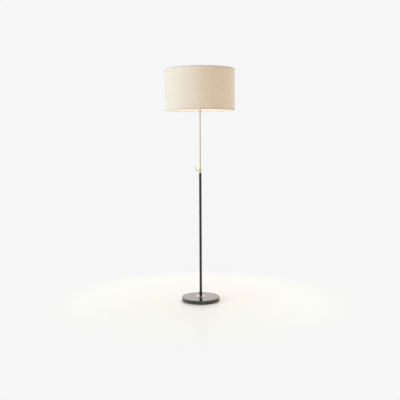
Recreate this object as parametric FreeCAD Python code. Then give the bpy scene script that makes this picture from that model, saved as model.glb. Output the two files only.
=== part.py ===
import FreeCAD, Part
import math
import os

# A telescopic floor lamp, in millimetres. A round polished stone base on a felt pad carries a black
# steel tube. A brass mast slides and turns in that tube, and a bent lever at the tube's collar clamps
# it. On the mast stand the lampholder with its turn switch, the bulb, the harp and a drum shade.
# +Z is up, the origin is the middle of the base's underside, and the lever points to -X.

V = FreeCAD.Vector
UP = V(0, 0, 1)
LEFT = V(-1, 0, 0)
FRONT = V(0, -1, 0)
BACK = V(0, 1, 0)

# ---- Clearances ---------------------------------------------------------------------------------
running_gap = 0.1           # between a piece that slides or turns and what guides it
loose_gap = 0.3             # round a piece that is dropped into its place
cut_overrun = 1.0           # how far a cut runs on past what it cuts
weld_overlap = 0.5          # how far a rod runs into the piece that it is joined to
edge_round = 0.5            # of a small turned piece's outer edges

# ---- Base ---------------------------------------------------------------------------------------
base_diameter = 250.0
stone_thickness = 23.0
stone_top_round = 2.0
stone_foot_round = 1.2
stone_web = 8.0             # stone left above the recess underneath
recess_diameter = 150.0
felt_thickness = 2.0
felt_margin = 6.0           # how far the felt's rim lies inside the stone's
plate_thickness = 3.0
plate_margin = 2.0          # between the backing plate's rim and the recess
washer_diameter = 24.0
washer_thickness = 1.5
nut_across_flats = 14.0
nut_thickness = 4.0
nut_to_nipple_end = 0.5

cord_diameter = 6.8         # the lead that the outlet is made for
cord_hole_diameter = 7.0
cord_hole_height = 4.3      # its axis above the stone's underside
bush_wall = 1.9             # round the cord's hole
bush_length = 14.0
bush_flange_width = 2.0
bush_flange_thickness = 1.3

# ---- Threaded nipples, the same at the foot and under the lampholder ------------------------------
nipple_diameter = 10.0
nipple_bore = 7.0

# ---- Foot of the column -------------------------------------------------------------------------
rosette_diameter = 60.0
rosette_edge = 2.8
rosette_edge_round = 0.8
rosette_crown_bend = 10.0
rosette_height = 4.0
rosette_flat_diameter = 22.0
ferrule_diameter = 19.6
ferrule_height = 32.0
ferrule_thread_depth = 12.0
ferrule_floor = 2.0         # between the thread and the tube's seat
ferrule_foot_round = 1.0
ferrule_lip_flat = 0.2      # left between the lip's round and the tube
foot_thread_length = 11.0   # of the nipple that is screwed into the ferrule
grub_diameter = 4.0
grub_socket = 2.0           # across the flats of its hexagon
grub_socket_depth = 1.0
grub_sunk = 0.3             # below the ferrule's surface

# ---- Lower tube and collar ----------------------------------------------------------------------
lower_tube_diameter = 16.0
lower_tube_wall = 1.0
lower_tube_length = 800.0
spigot_length = 22.0        # of the collar, inside the lower tube
spigot_wall = 1.0
collar_rim_diameter = 16.4
collar_rim_height = 1.8
collar_neck_diameter = 13.0
collar_neck_height = 5.2
collar_neck_step = 0.6      # down from the rim and up from the body
collar_neck_fillet = 1.2
collar_diameter = 17.0
collar_body_height = 22.0
collar_crown_height = 3.0
collar_crown_diameter = 12.6
collar_bore_gap = 0.15      # between the collar's head and the mast
collar_shoulder = 1.0       # of metal between the guide bush and the rim's seat
boss_diameter = 9.2
boss_reach = 13.6           # from the mast's axis
boss_height = 7.5           # of its axis above the foot of the collar's body
boss_round = 0.8

# ---- Clamp --------------------------------------------------------------------------------------
clamp_thread_diameter = 4.9
clamp_tip_diameter = 2.8
clamp_tip_length = 1.7
clamp_pad_length = 3.1
lever_shoulder_diameter = 7.2
lever_shoulder_length = 2.2
lever_shoulder_round = 0.8
lever_shoulder_gap = 0.6    # left between the shoulder and the boss
lever_rod_diameter = 4.8
lever_straight = 4.6
lever_rise_run = 7.2
lever_rise = 1.6
lever_rise_bend = 16.0
lever_elbow_bend = 4.5
lever_arm_lean = 2.7
lever_arm_height = 22.0
lever_knob_diameter = 6.6

# ---- Sliding mast -------------------------------------------------------------------------------
mast_diameter = 10.0
mast_wall = 0.8
mast_showing = 361.0        # between the collar and the coupling, as photographed
mast_rise_left = 150.0      # of travel above the photographed height
stop_play = 0.5
stop_ring_diameter = 13.2
stop_ring_height = 5.0
mast_below_stop = 100.0     # keeps the two guides apart when the mast is right up
glide_length = 16.0
glide_play = 0.2
plug_spigot_length = 15.0
plug_neck_diameter = 9.0
plug_flange_diameter = 12.4
plug_flange_height = 3.0
plug_bore = 6.0

coupling_diameter = 16.5
coupling_lead_in = 1.4
coupling_cove_round = 1.5
coupling_body_height = 18.0
coupling_flange_diameter = 19.0
coupling_flange_height = 3.5
coupling_cove_height = 3.1
coupling_socket_depth = 15.0
coupling_web = 2.0          # between the mast's end and the nipple's thread

# ---- Harp ---------------------------------------------------------------------------------------
saddle_thickness = 2.0
saddle_disc_diameter = 27.0
saddle_bar_width = 9.0
saddle_end_flat = 0.2       # left on the bar's end between its rounds
harp_foot_spacing = 48.0
harp_prong_height = 8.0
harp_wire_diameter = 4.5
harp_height = 230.0         # from the saddle's top to the shade's seat
harp_width = 112.0
harp_leg_straight = 14.0
harp_flare_height = 44.0
harp_side_height = 66.0
harp_top_half_width = 22.0
harp_foot_bend = 20.0
harp_flare_bend = 42.0
harp_side_bend = 80.0
harp_top_bend = 12.0
sleeve_wall = 1.4
sleeve_height = 14.5
sleeve_lift = 0.5
stud_diameter = 11.0
stud_above_wire = 1.5
stud_below_wire = 1.5
stud_foot_round = 0.8
post_diameter = 6.2
post_height = 12.0

# ---- Lampholder ---------------------------------------------------------------------------------
holder_cap_height = 20.0
holder_cap_diameter = 34.0
holder_cap_wall = 0.8
holder_neck_diameter = 14.0
holder_neck_height = 5.0
holder_cone_height = 8.0
holder_neck_fillet = 3.0
holder_shoulder_round = 5.0
holder_neck_floor = 1.6     # of metal above the neck's thread
nipple_show_in_holder = 1.5
shell_wall = 0.5
shell_start = 16.0          # of the shell, above the cap's foot
shell_length = 40.0
shell_bead = 0.8            # how far the rolled bead stands out
shell_bead_height = 3.2
paper_wall = 0.5
paper_inset = 1.0           # of the paper sleeve's ends in the shell
body_lift = 4.8             # of the body's foot above the cap's floor
body_foot_diameter = 25.6
body_taper_height = 4.0
body_height = 22.7
screw_shell_bore = 27.0
screw_shell_hole = 10.0     # in its floor, round the centre contact
screw_shell_wall = 0.7
screw_shell_round = 0.5
screw_shell_length = 20.0
contact_width = 5.0
contact_length = 7.6
contact_flat = 1.9          # at each end of the leaf
contact_leaf = 0.5
contact_lift = 2.2
terminal_head_diameter = 5.0
terminal_head_height = 1.8
terminal_slot_width = 0.9
terminal_slot_depth = 0.8
terminal_pocket_depth = 3.0
terminal_pocket_gap = 0.5   # round the screw's head
terminal_height = 5.0       # above the foot of the holder's body

# ---- Turn switch --------------------------------------------------------------------------------
switch_height = 25.0        # above the holder cap's foot
switch_shaft_diameter = 4.0
switch_shaft_inner = 7.3    # from the lamp's axis
switch_shaft_outer = 33.0
switch_slot_diameter = 7.0
knob_hub_diameter = 9.0
knob_hub_start = 20.0
knob_hub_length = 10.0
knob_hub_round = 1.0
knob_paddle_reach = 42.0
knob_paddle_width = 15.0
knob_paddle_thickness = 3.6
knob_paddle_start = 25.0    # where the paddle begins to widen from the hub
knob_paddle_flare = 4.0     # the run over which it widens
knob_flare_round = 2.0
knob_corner_round = 3.0

# ---- Bulb ---------------------------------------------------------------------------------------
bulb_diameter = 60.0
bulb_length = 108.0
bulb_wall = 1.0
bulb_cap_diameter = 26.4
bulb_cap_wall = 0.6
bulb_cap_length = 22.0
bulb_contact_diameter = 9.0
bulb_contact_height = 1.0
bulb_insulator_height = 3.0
bulb_neck_in_cap = 9.0
bulb_neck_height = 14.0     # from the cap up to where neck and shoulder lines meet
bulb_shoulder_drop = 11.0   # of the shoulder's bend below the globe's equator
bulb_shoulder_bend = 20.0
bulb_neck_bend = 26.0
bulb_crown_flat = 0.03      # left at the crown's middle by the globe's round

# ---- Drum shade ---------------------------------------------------------------------------------
shade_diameter = 450.0
shade_height = 265.0
linen_thickness = 0.6
lining_thickness = 1.0
ring_wire_diameter = 4.0
foot_ring_wire_diameter = 3.0
spider_drop = 16.0          # of the shade's seat below its top edge
spider_wire_diameter = 4.0
spider_arms = 3
spider_first_arm = 90.0     # degrees from +X
spider_foothold = 2.0       # of each arm on the washer
spider_washer_diameter = 26.0
spider_washer_thickness = 2.0
spider_level_run = 14.0     # from the ring to the arm's drop
spider_slope_run = 15.0
spider_bend = 8.0
trim_thickness = 0.7
trim_outer_height = 8.0
trim_inner_height = 6.0
trim_round = 0.7
finial_flange_diameter = 15.0
finial_flange_height = 1.8
finial_flange_round = 0.8
finial_waist_diameter = 8.0
finial_waist_foot = 3.3     # heights above the finial's foot
finial_waist_top = 4.8
finial_waist_fillet = 1.0
finial_ball_diameter = 12.0
finial_ball_foot = 7.3
finial_ball_foot_round = 2.0
finial_ball_crown_round = 5.1
finial_height = 14.0

# ---- Levels, from the floor up ------------------------------------------------------------------
stone_foot = felt_thickness
stone_top = stone_foot + stone_thickness
recess_top = stone_top - stone_web
plate_foot = recess_top - plate_thickness
washer_foot = plate_foot - washer_thickness
nut_foot = washer_foot - nut_thickness
foot_nipple_foot = nut_foot - nut_to_nipple_end
cord_hole_axis = stone_foot + cord_hole_height
rosette_top = stone_top + rosette_height
foot_nipple_top = rosette_top + foot_thread_length
lower_tube_foot = rosette_top + ferrule_thread_depth + ferrule_floor
lower_tube_top = lower_tube_foot + lower_tube_length
collar_foot = lower_tube_top - spigot_length
guide_top = lower_tube_top - collar_shoulder
collar_body_foot = lower_tube_top + collar_rim_height + collar_neck_height
clamp_axis = collar_body_foot + boss_height
collar_top = collar_body_foot + collar_body_height + collar_crown_height
stop_ring_top = collar_foot - mast_rise_left - stop_play
stop_ring_foot = stop_ring_top - stop_ring_height
mast_foot = stop_ring_foot - mast_below_stop
plug_neck_length = glide_length + 2 * glide_play
coupling_foot = collar_top + mast_showing
mast_top = coupling_foot + coupling_socket_depth
coupling_top = (coupling_foot + coupling_lead_in + coupling_body_height
                + coupling_cove_height + coupling_flange_height)
holder_nipple_foot = mast_top + coupling_web
saddle_top = coupling_top + saddle_thickness
holder_foot = saddle_top
holder_nipple_top = holder_foot + holder_neck_height + holder_neck_floor + nipple_show_in_holder
shell_foot = holder_foot + shell_start
shell_top = shell_foot + shell_length
switch_axis = holder_foot + switch_height
shade_seat = saddle_top + harp_height
shade_top = shade_seat + spider_drop
shade_foot = shade_top - shade_height

# ---- Radii that several pieces share --------------------------------------------------------------
base_radius = base_diameter / 2
recess_radius = recess_diameter / 2
nipple_radius = nipple_diameter / 2
passage_radius = nipple_bore / 2
lower_tube_radius = lower_tube_diameter / 2
lower_tube_bore = lower_tube_radius - lower_tube_wall
mast_radius = mast_diameter / 2
mast_bore = mast_radius - mast_wall
guide_radius = lower_tube_bore - spigot_wall
thread_radius = clamp_thread_diameter / 2
holder_cap_bore = holder_cap_diameter / 2 - holder_cap_wall
shell_radius = holder_cap_bore - running_gap
shell_bore = shell_radius - shell_wall
paper_radius = shell_bore - running_gap
paper_bore = paper_radius - paper_wall
body_radius = paper_bore - running_gap
linen_radius = shade_diameter / 2
lining_radius = linen_radius - linen_thickness
shade_bore = lining_radius - lining_thickness
harp_wire_radius = harp_wire_diameter / 2
bulb_cap_radius = bulb_cap_diameter / 2


# ---- Tools for outlines and forms -----------------------------------------------------------------
def corner_arc(before, corner, after, radius):
    """Start, middle and end of the arc that rounds a corner between two straight runs."""
    back = (before - corner).normalize()
    ahead = (after - corner).normalize()
    half_angle = back.getAngle(ahead) / 2
    middle_line = (back + ahead).normalize()
    reach = radius / math.tan(half_angle)
    centre = corner + middle_line * (radius / math.sin(half_angle))
    return corner + back * reach, centre - middle_line * radius, corner + ahead * reach


def rounded_edges(points, closed):
    """Edges through the points, each (vector, radius), with a tangent arc where radius isn't 0."""
    last = len(points) - 1
    stations = []
    for i, (point, radius) in enumerate(points):
        loose_end = not closed and i in (0, last)
        if radius == 0 or loose_end:
            stations.append((point, None, point))
            continue
        after = points[0] if i == last else points[i + 1]
        stations.append(corner_arc(points[i - 1][0], point, after[0], radius))
    edges = []
    for i, (start, middle, end) in enumerate(stations):
        if middle is not None:
            edges.append(Part.Arc(start, middle, end).toShape())
        if i == last and not closed:
            break
        following = stations[0] if i == last else stations[i + 1]
        if end.distanceToPoint(following[0]) > 1e-6:
            edges.append(Part.makeLine(end, following[0]))
    return edges


def with_radius(corner):
    """A corner's radius, which is 0 where the corner states none."""
    return corner[2] if len(corner) > 2 else 0


def turned(corners):
    """A solid turned about Z from a closed outline of (radius, height) or (radius, height, round)."""
    points = [(V(c[0], 0, c[1]), with_radius(c)) for c in corners]
    outline = Part.Wire(rounded_edges(points, closed=True))
    return Part.Face(outline).revolve(V(0, 0, 0), UP, 360)


def ring_of(bore, radius, foot, top):
    """A plain tube or washer about Z."""
    return turned([(bore, foot), (radius, foot), (radius, top), (bore, top)])


def rod_along(points, radius):
    """A round rod along straight runs and tangent bends."""
    path = Part.Wire(rounded_edges(points, closed=False))
    start = points[0][0]
    direction = points[1][0] - start
    section = Part.Wire(Part.Circle(start, direction, radius).toShape())
    return Part.Solid(path.makePipeShell([section], True, False))


def aimed(shape, origin, direction):
    """The shape made about Z from 0, moved to an origin with its Z along a direction."""
    moved = shape.copy()
    moved.Placement = FreeCAD.Placement(origin, FreeCAD.Rotation(UP, direction))
    return moved


def rounded_plate(corners, foot, thickness):
    """A flat plate extruded up from an outline of (x, y) or (x, y, round)."""
    points = [(V(c[0], c[1], foot), with_radius(c)) for c in corners]
    outline = Part.Wire(rounded_edges(points, closed=True))
    return Part.Face(outline).extrude(V(0, 0, thickness))


def hexagon(across_flats, foot, thickness):
    """A hexagonal prism about Z."""
    reach = across_flats / math.sqrt(3)
    turns = [math.radians(60 * i) for i in range(6)]
    return rounded_plate([(reach * math.cos(a), reach * math.sin(a)) for a in turns], foot, thickness)


# ---- Base ---------------------------------------------------------------------------------------
def arch_along_y(half_width, low, start, end):
    """A bar along Y with upright sides and a round top about the cord hole's axis."""
    section = [
        V(-half_width, start, low),
        V(-half_width, start, cord_hole_axis),
        V(0, start, cord_hole_axis + half_width),
        V(half_width, start, cord_hole_axis),
        V(half_width, start, low),
    ]
    edges = [
        Part.makeLine(section[0], section[1]),
        Part.Arc(section[1], section[2], section[3]).toShape(),
        Part.makeLine(section[3], section[4]),
        Part.makeLine(section[4], section[0]),
    ]
    return Part.Face(Part.Wire(edges)).extrude(V(0, end - start, 0))


def cord_hole(start, end):
    """The round hole that the lead passes, along Y."""
    foot = V(0, start, cord_hole_axis)
    return Part.makeCylinder(cord_hole_diameter / 2, end - start, foot, BACK)


bush_half_width = cord_hole_diameter / 2 + bush_wall
channel_half_width = bush_half_width + running_gap


def stone_base():
    """The polished disc, hollowed underneath, with a channel to the back for the lead."""
    disc = turned([
        (nipple_radius + loose_gap, recess_top),
        (recess_radius, recess_top),
        (recess_radius, stone_foot),
        (base_radius, stone_foot, stone_foot_round),
        (base_radius, stone_top, stone_top_round),
        (nipple_radius + loose_gap, stone_top),
    ])
    inside = recess_radius - channel_half_width
    outside = base_radius + channel_half_width
    return disc.cut(arch_along_y(channel_half_width, stone_foot - cut_overrun, inside, outside))


def felt_pad():
    """The felt disc that the lamp stands on."""
    return Part.makeCylinder(base_radius - felt_margin, felt_thickness)


def backing_plate():
    """The steel plate that spreads the nut's pull under the stone."""
    return ring_of(nipple_radius + loose_gap, recess_radius - plate_margin, plate_foot, recess_top)


def base_washer():
    return ring_of(nipple_radius + loose_gap, washer_diameter / 2, washer_foot, plate_foot)


def base_nut():
    nut = hexagon(nut_across_flats, nut_foot, nut_thickness)
    return nut.cut(Part.makeCylinder(nipple_radius, nut_thickness, V(0, 0, nut_foot)))


def foot_nipple():
    """The hollow threaded tube that ties the column to the base."""
    return ring_of(passage_radius, nipple_radius, foot_nipple_foot, foot_nipple_top)


def cord_bush():
    """The moulded bush that lines the lead's way out at the back of the stone."""
    start = base_radius - bush_length
    end = base_radius + bush_flange_thickness
    past_end = end + cut_overrun
    foot = stone_foot + running_gap
    body = arch_along_y(bush_half_width, foot, start, past_end)
    flange = arch_along_y(bush_half_width + bush_flange_width, foot, start, past_end)
    beyond_stone = ring_of(base_radius, past_end, 0, stone_top)
    bush = body.fuse(flange.common(beyond_stone)).removeSplitter()
    outside = Part.makeCylinder(end, stone_top)
    return bush.common(outside).cut(cord_hole(start - cut_overrun, past_end))


# ---- Foot of the column -------------------------------------------------------------------------
def base_rosette():
    """The low brass disc between the stone and the ferrule."""
    rim = rosette_diameter / 2
    return turned([
        (nipple_radius + loose_gap, stone_top),
        (rim, stone_top),
        (rim, stone_top + rosette_edge, rosette_edge_round),
        (rosette_flat_diameter / 2, rosette_top, rosette_crown_bend),
        (nipple_radius + loose_gap, rosette_top),
    ])


ferrule_radius = ferrule_diameter / 2
ferrule_top = rosette_top + ferrule_height
grub_axis = (lower_tube_foot + ferrule_top) / 2


def foot_ferrule():
    """The black socket that is screwed to the nipple and holds the lower tube."""
    thread_top = rosette_top + ferrule_thread_depth
    lip = ferrule_radius - lower_tube_radius
    body = turned([
        (nipple_radius, rosette_top),
        (ferrule_radius, rosette_top, ferrule_foot_round),
        (ferrule_radius, ferrule_top, lip - ferrule_lip_flat),
        (lower_tube_radius, ferrule_top),
        (lower_tube_radius, lower_tube_foot),
        (passage_radius, lower_tube_foot),
        (passage_radius, thread_top),
        (nipple_radius, thread_top),
    ])
    return body.cut(Part.makeCylinder(grub_diameter / 2, ferrule_radius, V(0, 0, grub_axis), BACK))


def ferrule_grub_screw():
    """The grub screw at the back that holds the lower tube in the ferrule."""
    length = ferrule_radius - grub_sunk - lower_tube_radius
    screw = Part.makeCylinder(grub_diameter / 2, length)
    screw = screw.cut(hexagon(grub_socket, length - grub_socket_depth, length))
    outside_tube = Part.makeCylinder(lower_tube_radius, lower_tube_length, V(0, 0, lower_tube_foot))
    seat = V(0, lower_tube_radius, grub_axis)
    return aimed(screw, seat, BACK).cut(outside_tube)


def lower_tube():
    return ring_of(lower_tube_bore, lower_tube_radius, lower_tube_foot, lower_tube_top)


# ---- Collar and clamp ---------------------------------------------------------------------------
def clamp_collar():
    """The turned brass head of the lower tube, with a boss for the clamp's thread."""
    rim_top = lower_tube_top + collar_rim_height
    neck = collar_neck_diameter / 2
    body = collar_diameter / 2
    bore = mast_radius + collar_bore_gap
    head = turned([
        (guide_radius, collar_foot),
        (lower_tube_bore, collar_foot),
        (lower_tube_bore, lower_tube_top),
        (collar_rim_diameter / 2, lower_tube_top, edge_round),
        (collar_rim_diameter / 2, rim_top, edge_round),
        (neck, rim_top + collar_neck_step, collar_neck_fillet),
        (neck, collar_body_foot - collar_neck_step, collar_neck_fillet),
        (body, collar_body_foot, edge_round),
        (body, collar_top - collar_crown_height, edge_round * 2),
        (collar_crown_diameter / 2, collar_top, edge_round),
        (bore, collar_top),
        (bore, guide_top),
        (guide_radius, guide_top),
    ])
    boss_radius = boss_diameter / 2
    boss = turned([
        (0, 0),
        (boss_radius, 0),
        (boss_radius, boss_reach, boss_round),
        (0, boss_reach),
    ])
    axis = V(0, 0, clamp_axis)
    mast_way = Part.makeCylinder(bore, collar_top, V(0, 0, 0))
    boss = aimed(boss, axis, LEFT).cut(mast_way)
    thread_way = Part.makeCylinder(thread_radius + running_gap, boss_reach, axis, LEFT)
    return head.fuse(boss).removeSplitter().cut(thread_way)


def guide_bush():
    """The nylon sleeve in the collar that guides the mast."""
    return ring_of(mast_radius + running_gap / 2, guide_radius, collar_foot, guide_top)


pad_face = mast_radius + running_gap
pad_end = pad_face + clamp_pad_length
tip_end = pad_end - clamp_tip_length
screw_face = pad_end + running_gap
lever_foot = boss_reach + lever_shoulder_gap


def clamp_pad():
    """The small brass pad that turns freely on the screw's tip and presses on the mast."""
    socket_floor = tip_end - running_gap
    socket_radius = clamp_tip_diameter / 2 + running_gap
    pad = turned([
        (0, pad_face),
        (thread_radius, pad_face, edge_round),
        (thread_radius, pad_end),
        (socket_radius, pad_end),
        (socket_radius, socket_floor),
        (0, socket_floor),
    ])
    return aimed(pad, V(0, 0, clamp_axis), LEFT)


def clamp_lever():
    """The threaded brass rod, bent up into a thumb lever with a ball end."""
    tip = clamp_tip_diameter / 2
    shoulder = lever_shoulder_diameter / 2
    shoulder_end = lever_foot + lever_shoulder_length
    rod = lever_rod_diameter / 2
    shank = turned([
        (0, tip_end),
        (tip, tip_end),
        (tip, screw_face),
        (thread_radius, screw_face),
        (thread_radius, lever_foot),
        (shoulder, lever_foot, edge_round),
        (shoulder, shoulder_end, lever_shoulder_round),
        (rod, shoulder_end),
        (0, shoulder_end),
    ])
    bend = shoulder_end + lever_straight
    elbow = bend + lever_rise_run
    tip_x = elbow + lever_arm_lean
    tip_z = clamp_axis + lever_rise + lever_arm_height
    arm = rod_along([
        (V(-shoulder_end + weld_overlap, 0, clamp_axis), 0),
        (V(-bend, 0, clamp_axis), lever_rise_bend),
        (V(-elbow, 0, clamp_axis + lever_rise), lever_elbow_bend),
        (V(-tip_x, 0, tip_z), 0),
    ], rod)
    ball = Part.makeSphere(lever_knob_diameter / 2, V(-tip_x, 0, tip_z))
    return aimed(shank, V(0, 0, clamp_axis), LEFT).fuse([arm, ball]).removeSplitter()


# ---- Sliding mast -------------------------------------------------------------------------------
def mast_tube():
    return ring_of(mast_bore, mast_radius, mast_foot, mast_top)


def mast_plug():
    """The plug in the mast's lower end, whose neck carries the glide bush."""
    neck_foot = mast_foot - plug_neck_length
    flange_foot = neck_foot - plug_flange_height
    bore = plug_bore / 2
    return turned([
        (bore, flange_foot),
        (plug_flange_diameter / 2, flange_foot, edge_round),
        (plug_flange_diameter / 2, neck_foot),
        (plug_neck_diameter / 2, neck_foot),
        (plug_neck_diameter / 2, mast_foot),
        (mast_bore, mast_foot),
        (mast_bore, mast_foot + plug_spigot_length, edge_round),
        (bore, mast_foot + plug_spigot_length),
    ])


def glide_bush():
    """The nylon bush that slides in the lower tube, and in which the mast's plug turns."""
    top = mast_foot - glide_play
    bore = plug_neck_diameter / 2 + running_gap
    outside = lower_tube_bore - running_gap
    return turned([
        (bore, top - glide_length),
        (outside, top - glide_length, edge_round),
        (outside, top, edge_round),
        (bore, top),
    ])


def stop_ring():
    """The ring pressed on the mast that meets the guide bush when the mast is right up."""
    return ring_of(mast_radius, stop_ring_diameter / 2, stop_ring_foot, stop_ring_top)


def mast_coupling():
    """The turned brass piece between the mast and the lampholder's nipple."""
    foot = coupling_foot
    body = coupling_diameter / 2
    flange = coupling_flange_diameter / 2
    body_foot = foot + coupling_lead_in
    body_top = body_foot + coupling_body_height
    flange_foot = coupling_top - coupling_flange_height
    return turned([
        (mast_radius, foot),
        (body - coupling_lead_in, foot),
        (body, body_foot, edge_round),
        (body, body_top, coupling_cove_round),
        (flange, flange_foot, edge_round),
        (flange, coupling_top, edge_round),
        (nipple_radius, coupling_top),
        (nipple_radius, holder_nipple_foot),
        (passage_radius, holder_nipple_foot),
        (passage_radius, mast_top),
        (mast_radius, mast_top),
    ])


def holder_nipple():
    return ring_of(passage_radius, nipple_radius, holder_nipple_foot, holder_nipple_top)


# ---- Harp ---------------------------------------------------------------------------------------
harp_foot_x = harp_foot_spacing / 2
harp_sides = (-1, 1)
harp_wire_top = shade_seat - stud_above_wire - harp_wire_radius


def harp_saddle():
    """The strip under the lampholder with two prongs for the harp's feet."""
    disc = Part.makeCylinder(saddle_disc_diameter / 2, saddle_thickness, V(0, 0, coupling_top))
    half_bar = saddle_bar_width / 2
    end_round = half_bar - saddle_end_flat / 2
    reach = harp_foot_x + half_bar
    bar = rounded_plate([
        (-reach, -half_bar, end_round),
        (reach, -half_bar, end_round),
        (reach, half_bar, end_round),
        (-reach, half_bar, end_round),
    ], coupling_top, saddle_thickness)
    prong_height = saddle_thickness + harp_prong_height
    prongs = [
        Part.makeCylinder(harp_wire_radius, prong_height, V(side * harp_foot_x, 0, coupling_top))
        for side in harp_sides
    ]
    hole = Part.makeCylinder(nipple_radius + running_gap, saddle_thickness, V(0, 0, coupling_top))
    return disc.fuse([bar] + prongs).removeSplitter().cut(hole)


def harp_wire():
    """The bent wire that arches over the bulb and carries the shade."""
    foot = saddle_top + harp_prong_height
    flare_foot = foot + harp_leg_straight
    side_foot = flare_foot + harp_flare_height
    side_top = side_foot + harp_side_height
    side = harp_width / 2
    half = [
        (harp_foot_x, foot, 0),
        (harp_foot_x, flare_foot, harp_foot_bend),
        (side, side_foot, harp_flare_bend),
        (side, side_top, harp_side_bend),
        (harp_top_half_width, harp_wire_top, harp_top_bend),
    ]
    left = [(V(-x, 0, z), bend) for x, z, bend in half]
    right = [(V(x, 0, z), bend) for x, z, bend in reversed(half)]
    return rod_along(left + right, harp_wire_radius)


def harp_sleeves():
    """The two sliding sleeves that lock the harp's feet on the prongs."""
    foot = saddle_top + sleeve_lift
    bore = harp_wire_radius + running_gap
    sleeve = ring_of(bore, bore + sleeve_wall, foot, foot + sleeve_height)
    return Part.Compound([sleeve.translated(V(side * harp_foot_x, 0, 0)) for side in harp_sides])


def harp_stud():
    """The seat at the harp's top, with the threaded post for the finial."""
    foot = harp_wire_top - harp_wire_radius - stud_below_wire
    seat = stud_diameter / 2
    post = post_diameter / 2
    stud = turned([
        (0, foot),
        (seat, foot, stud_foot_round),
        (seat, shade_seat, edge_round),
        (post, shade_seat),
        (post, shade_seat + post_height, edge_round),
        (0, shade_seat + post_height),
    ])
    wire_way = Part.makeCylinder(
        harp_wire_radius, stud_diameter, V(stud_diameter / 2, 0, harp_wire_top), LEFT)
    return stud.cut(wire_way)


# ---- Lampholder ---------------------------------------------------------------------------------
neck_top = holder_foot + holder_neck_height
cone_top = neck_top + holder_cone_height
neck_inside = neck_top + holder_neck_floor
body_foot = neck_inside + body_lift
body_top = body_foot + body_height


def holder_cap():
    """The brass cup that is screwed on the nipple over the saddle."""
    outside = holder_cap_diameter / 2
    neck = holder_neck_diameter / 2
    cone_inside_top = cone_top + holder_neck_floor / 2
    return turned([
        (nipple_radius, holder_foot),
        (neck, holder_foot, edge_round),
        (neck, neck_top, holder_neck_fillet),
        (outside, cone_top, holder_shoulder_round),
        (outside, holder_foot + holder_cap_height),
        (holder_cap_bore, holder_foot + holder_cap_height),
        (holder_cap_bore, cone_inside_top, holder_shoulder_round - holder_cap_wall),
        (neck + holder_cap_wall, neck_inside),
        (nipple_radius, neck_inside),
    ])


def switch_way(reach):
    """The round way through the holder's walls for the switch's shaft."""
    return Part.makeCylinder(switch_slot_diameter / 2, reach, V(0, 0, switch_axis), FRONT)


def holder_shell():
    """The brass shell round the lampholder, with a rolled bead at its mouth."""
    bead = shell_radius + shell_bead
    shell = turned([
        (shell_bore, shell_foot),
        (shell_radius, shell_foot),
        (shell_radius, shell_top - shell_bead_height),
        (bead, shell_top - shell_bead_height + shell_bead, shell_bead / 2),
        (bead, shell_top - shell_bead, shell_bead / 2),
        (shell_radius, shell_top),
        (shell_bore, shell_top),
    ])
    return shell.cut(switch_way(holder_cap_diameter))


def holder_paper():
    """The insulating paper sleeve inside the shell."""
    sleeve = ring_of(paper_bore, paper_radius, shell_foot + paper_inset, shell_top - paper_inset)
    return sleeve.cut(switch_way(holder_cap_diameter))


pocket_width = terminal_head_diameter + 2 * terminal_pocket_gap
terminal_floor = body_radius - terminal_pocket_depth


def holder_body():
    """The moulded block that holds the switch, the terminals and the screw shell."""
    block = turned([
        (0, body_foot),
        (body_foot_diameter / 2, body_foot, edge_round),
        (body_radius, body_foot + body_taper_height),
        (body_radius, body_top),
        (0, body_top),
    ])
    shaft_bore = Part.makeCylinder(
        switch_shaft_diameter / 2 + running_gap,
        holder_cap_diameter,
        V(0, -switch_shaft_inner + loose_gap, switch_axis),
        FRONT,
    )
    depth = terminal_pocket_depth + cut_overrun
    pockets = []
    for side in harp_sides:
        inner = side * terminal_floor
        start = min(inner, inner + side * depth)
        corner = V(start, -pocket_width / 2, body_foot + terminal_height)
        pockets.append(Part.makeBox(depth, pocket_width, pocket_width, corner))
    return block.cut([shaft_bore] + pockets)


def terminal_screws():
    """The two terminal screws in the body's pockets, with slotted heads."""
    head = turned([
        (0, 0),
        (terminal_head_diameter / 2, 0),
        (terminal_head_diameter / 2, terminal_head_height, edge_round),
        (0, terminal_head_height),
    ])
    slot_foot = terminal_head_height - terminal_slot_depth
    slot = Part.makeBox(
        terminal_slot_width,
        terminal_head_diameter,
        terminal_head_height,
        V(-terminal_slot_width / 2, -terminal_head_diameter / 2, slot_foot),
    )
    head = head.cut(slot)
    centre = body_foot + terminal_height + pocket_width / 2
    heads = [
        aimed(head, V(side * terminal_floor, 0, centre), V(side, 0, 0))
        for side in harp_sides
    ]
    return Part.Compound(heads)


def screw_shell():
    """The thin metal cup that the bulb is screwed into."""
    bore = screw_shell_bore / 2
    outside = bore + screw_shell_wall
    hole = screw_shell_hole / 2
    return turned([
        (hole, body_top),
        (outside, body_top, screw_shell_round),
        (outside, body_top + screw_shell_length),
        (bore, body_top + screw_shell_length),
        (bore, body_top + screw_shell_wall),
        (hole, body_top + screw_shell_wall),
    ])


def centre_contact():
    """The sprung brass leaf under the bulb's tip."""
    half = contact_length / 2
    bend = half - contact_flat
    leaf = [
        V(-half, 0, body_top),
        V(-bend, 0, body_top),
        V(bend, 0, body_top + contact_lift - contact_leaf),
        V(half, 0, body_top + contact_lift - contact_leaf),
        V(half, 0, body_top + contact_lift),
        V(bend - contact_leaf, 0, body_top + contact_lift),
        V(-bend - contact_leaf, 0, body_top + contact_leaf),
        V(-half, 0, body_top + contact_leaf),
    ]
    outline = Part.makePolygon(leaf + leaf[:1])
    strip = Part.Face(outline).extrude(V(0, contact_width, 0))
    return strip.translated(V(0, -contact_width / 2, 0))


# ---- Turn switch --------------------------------------------------------------------------------
def switch_shaft():
    length = switch_shaft_outer - switch_shaft_inner
    return Part.makeCylinder(
        switch_shaft_diameter / 2, length, V(0, -switch_shaft_inner, switch_axis), FRONT)


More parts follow.
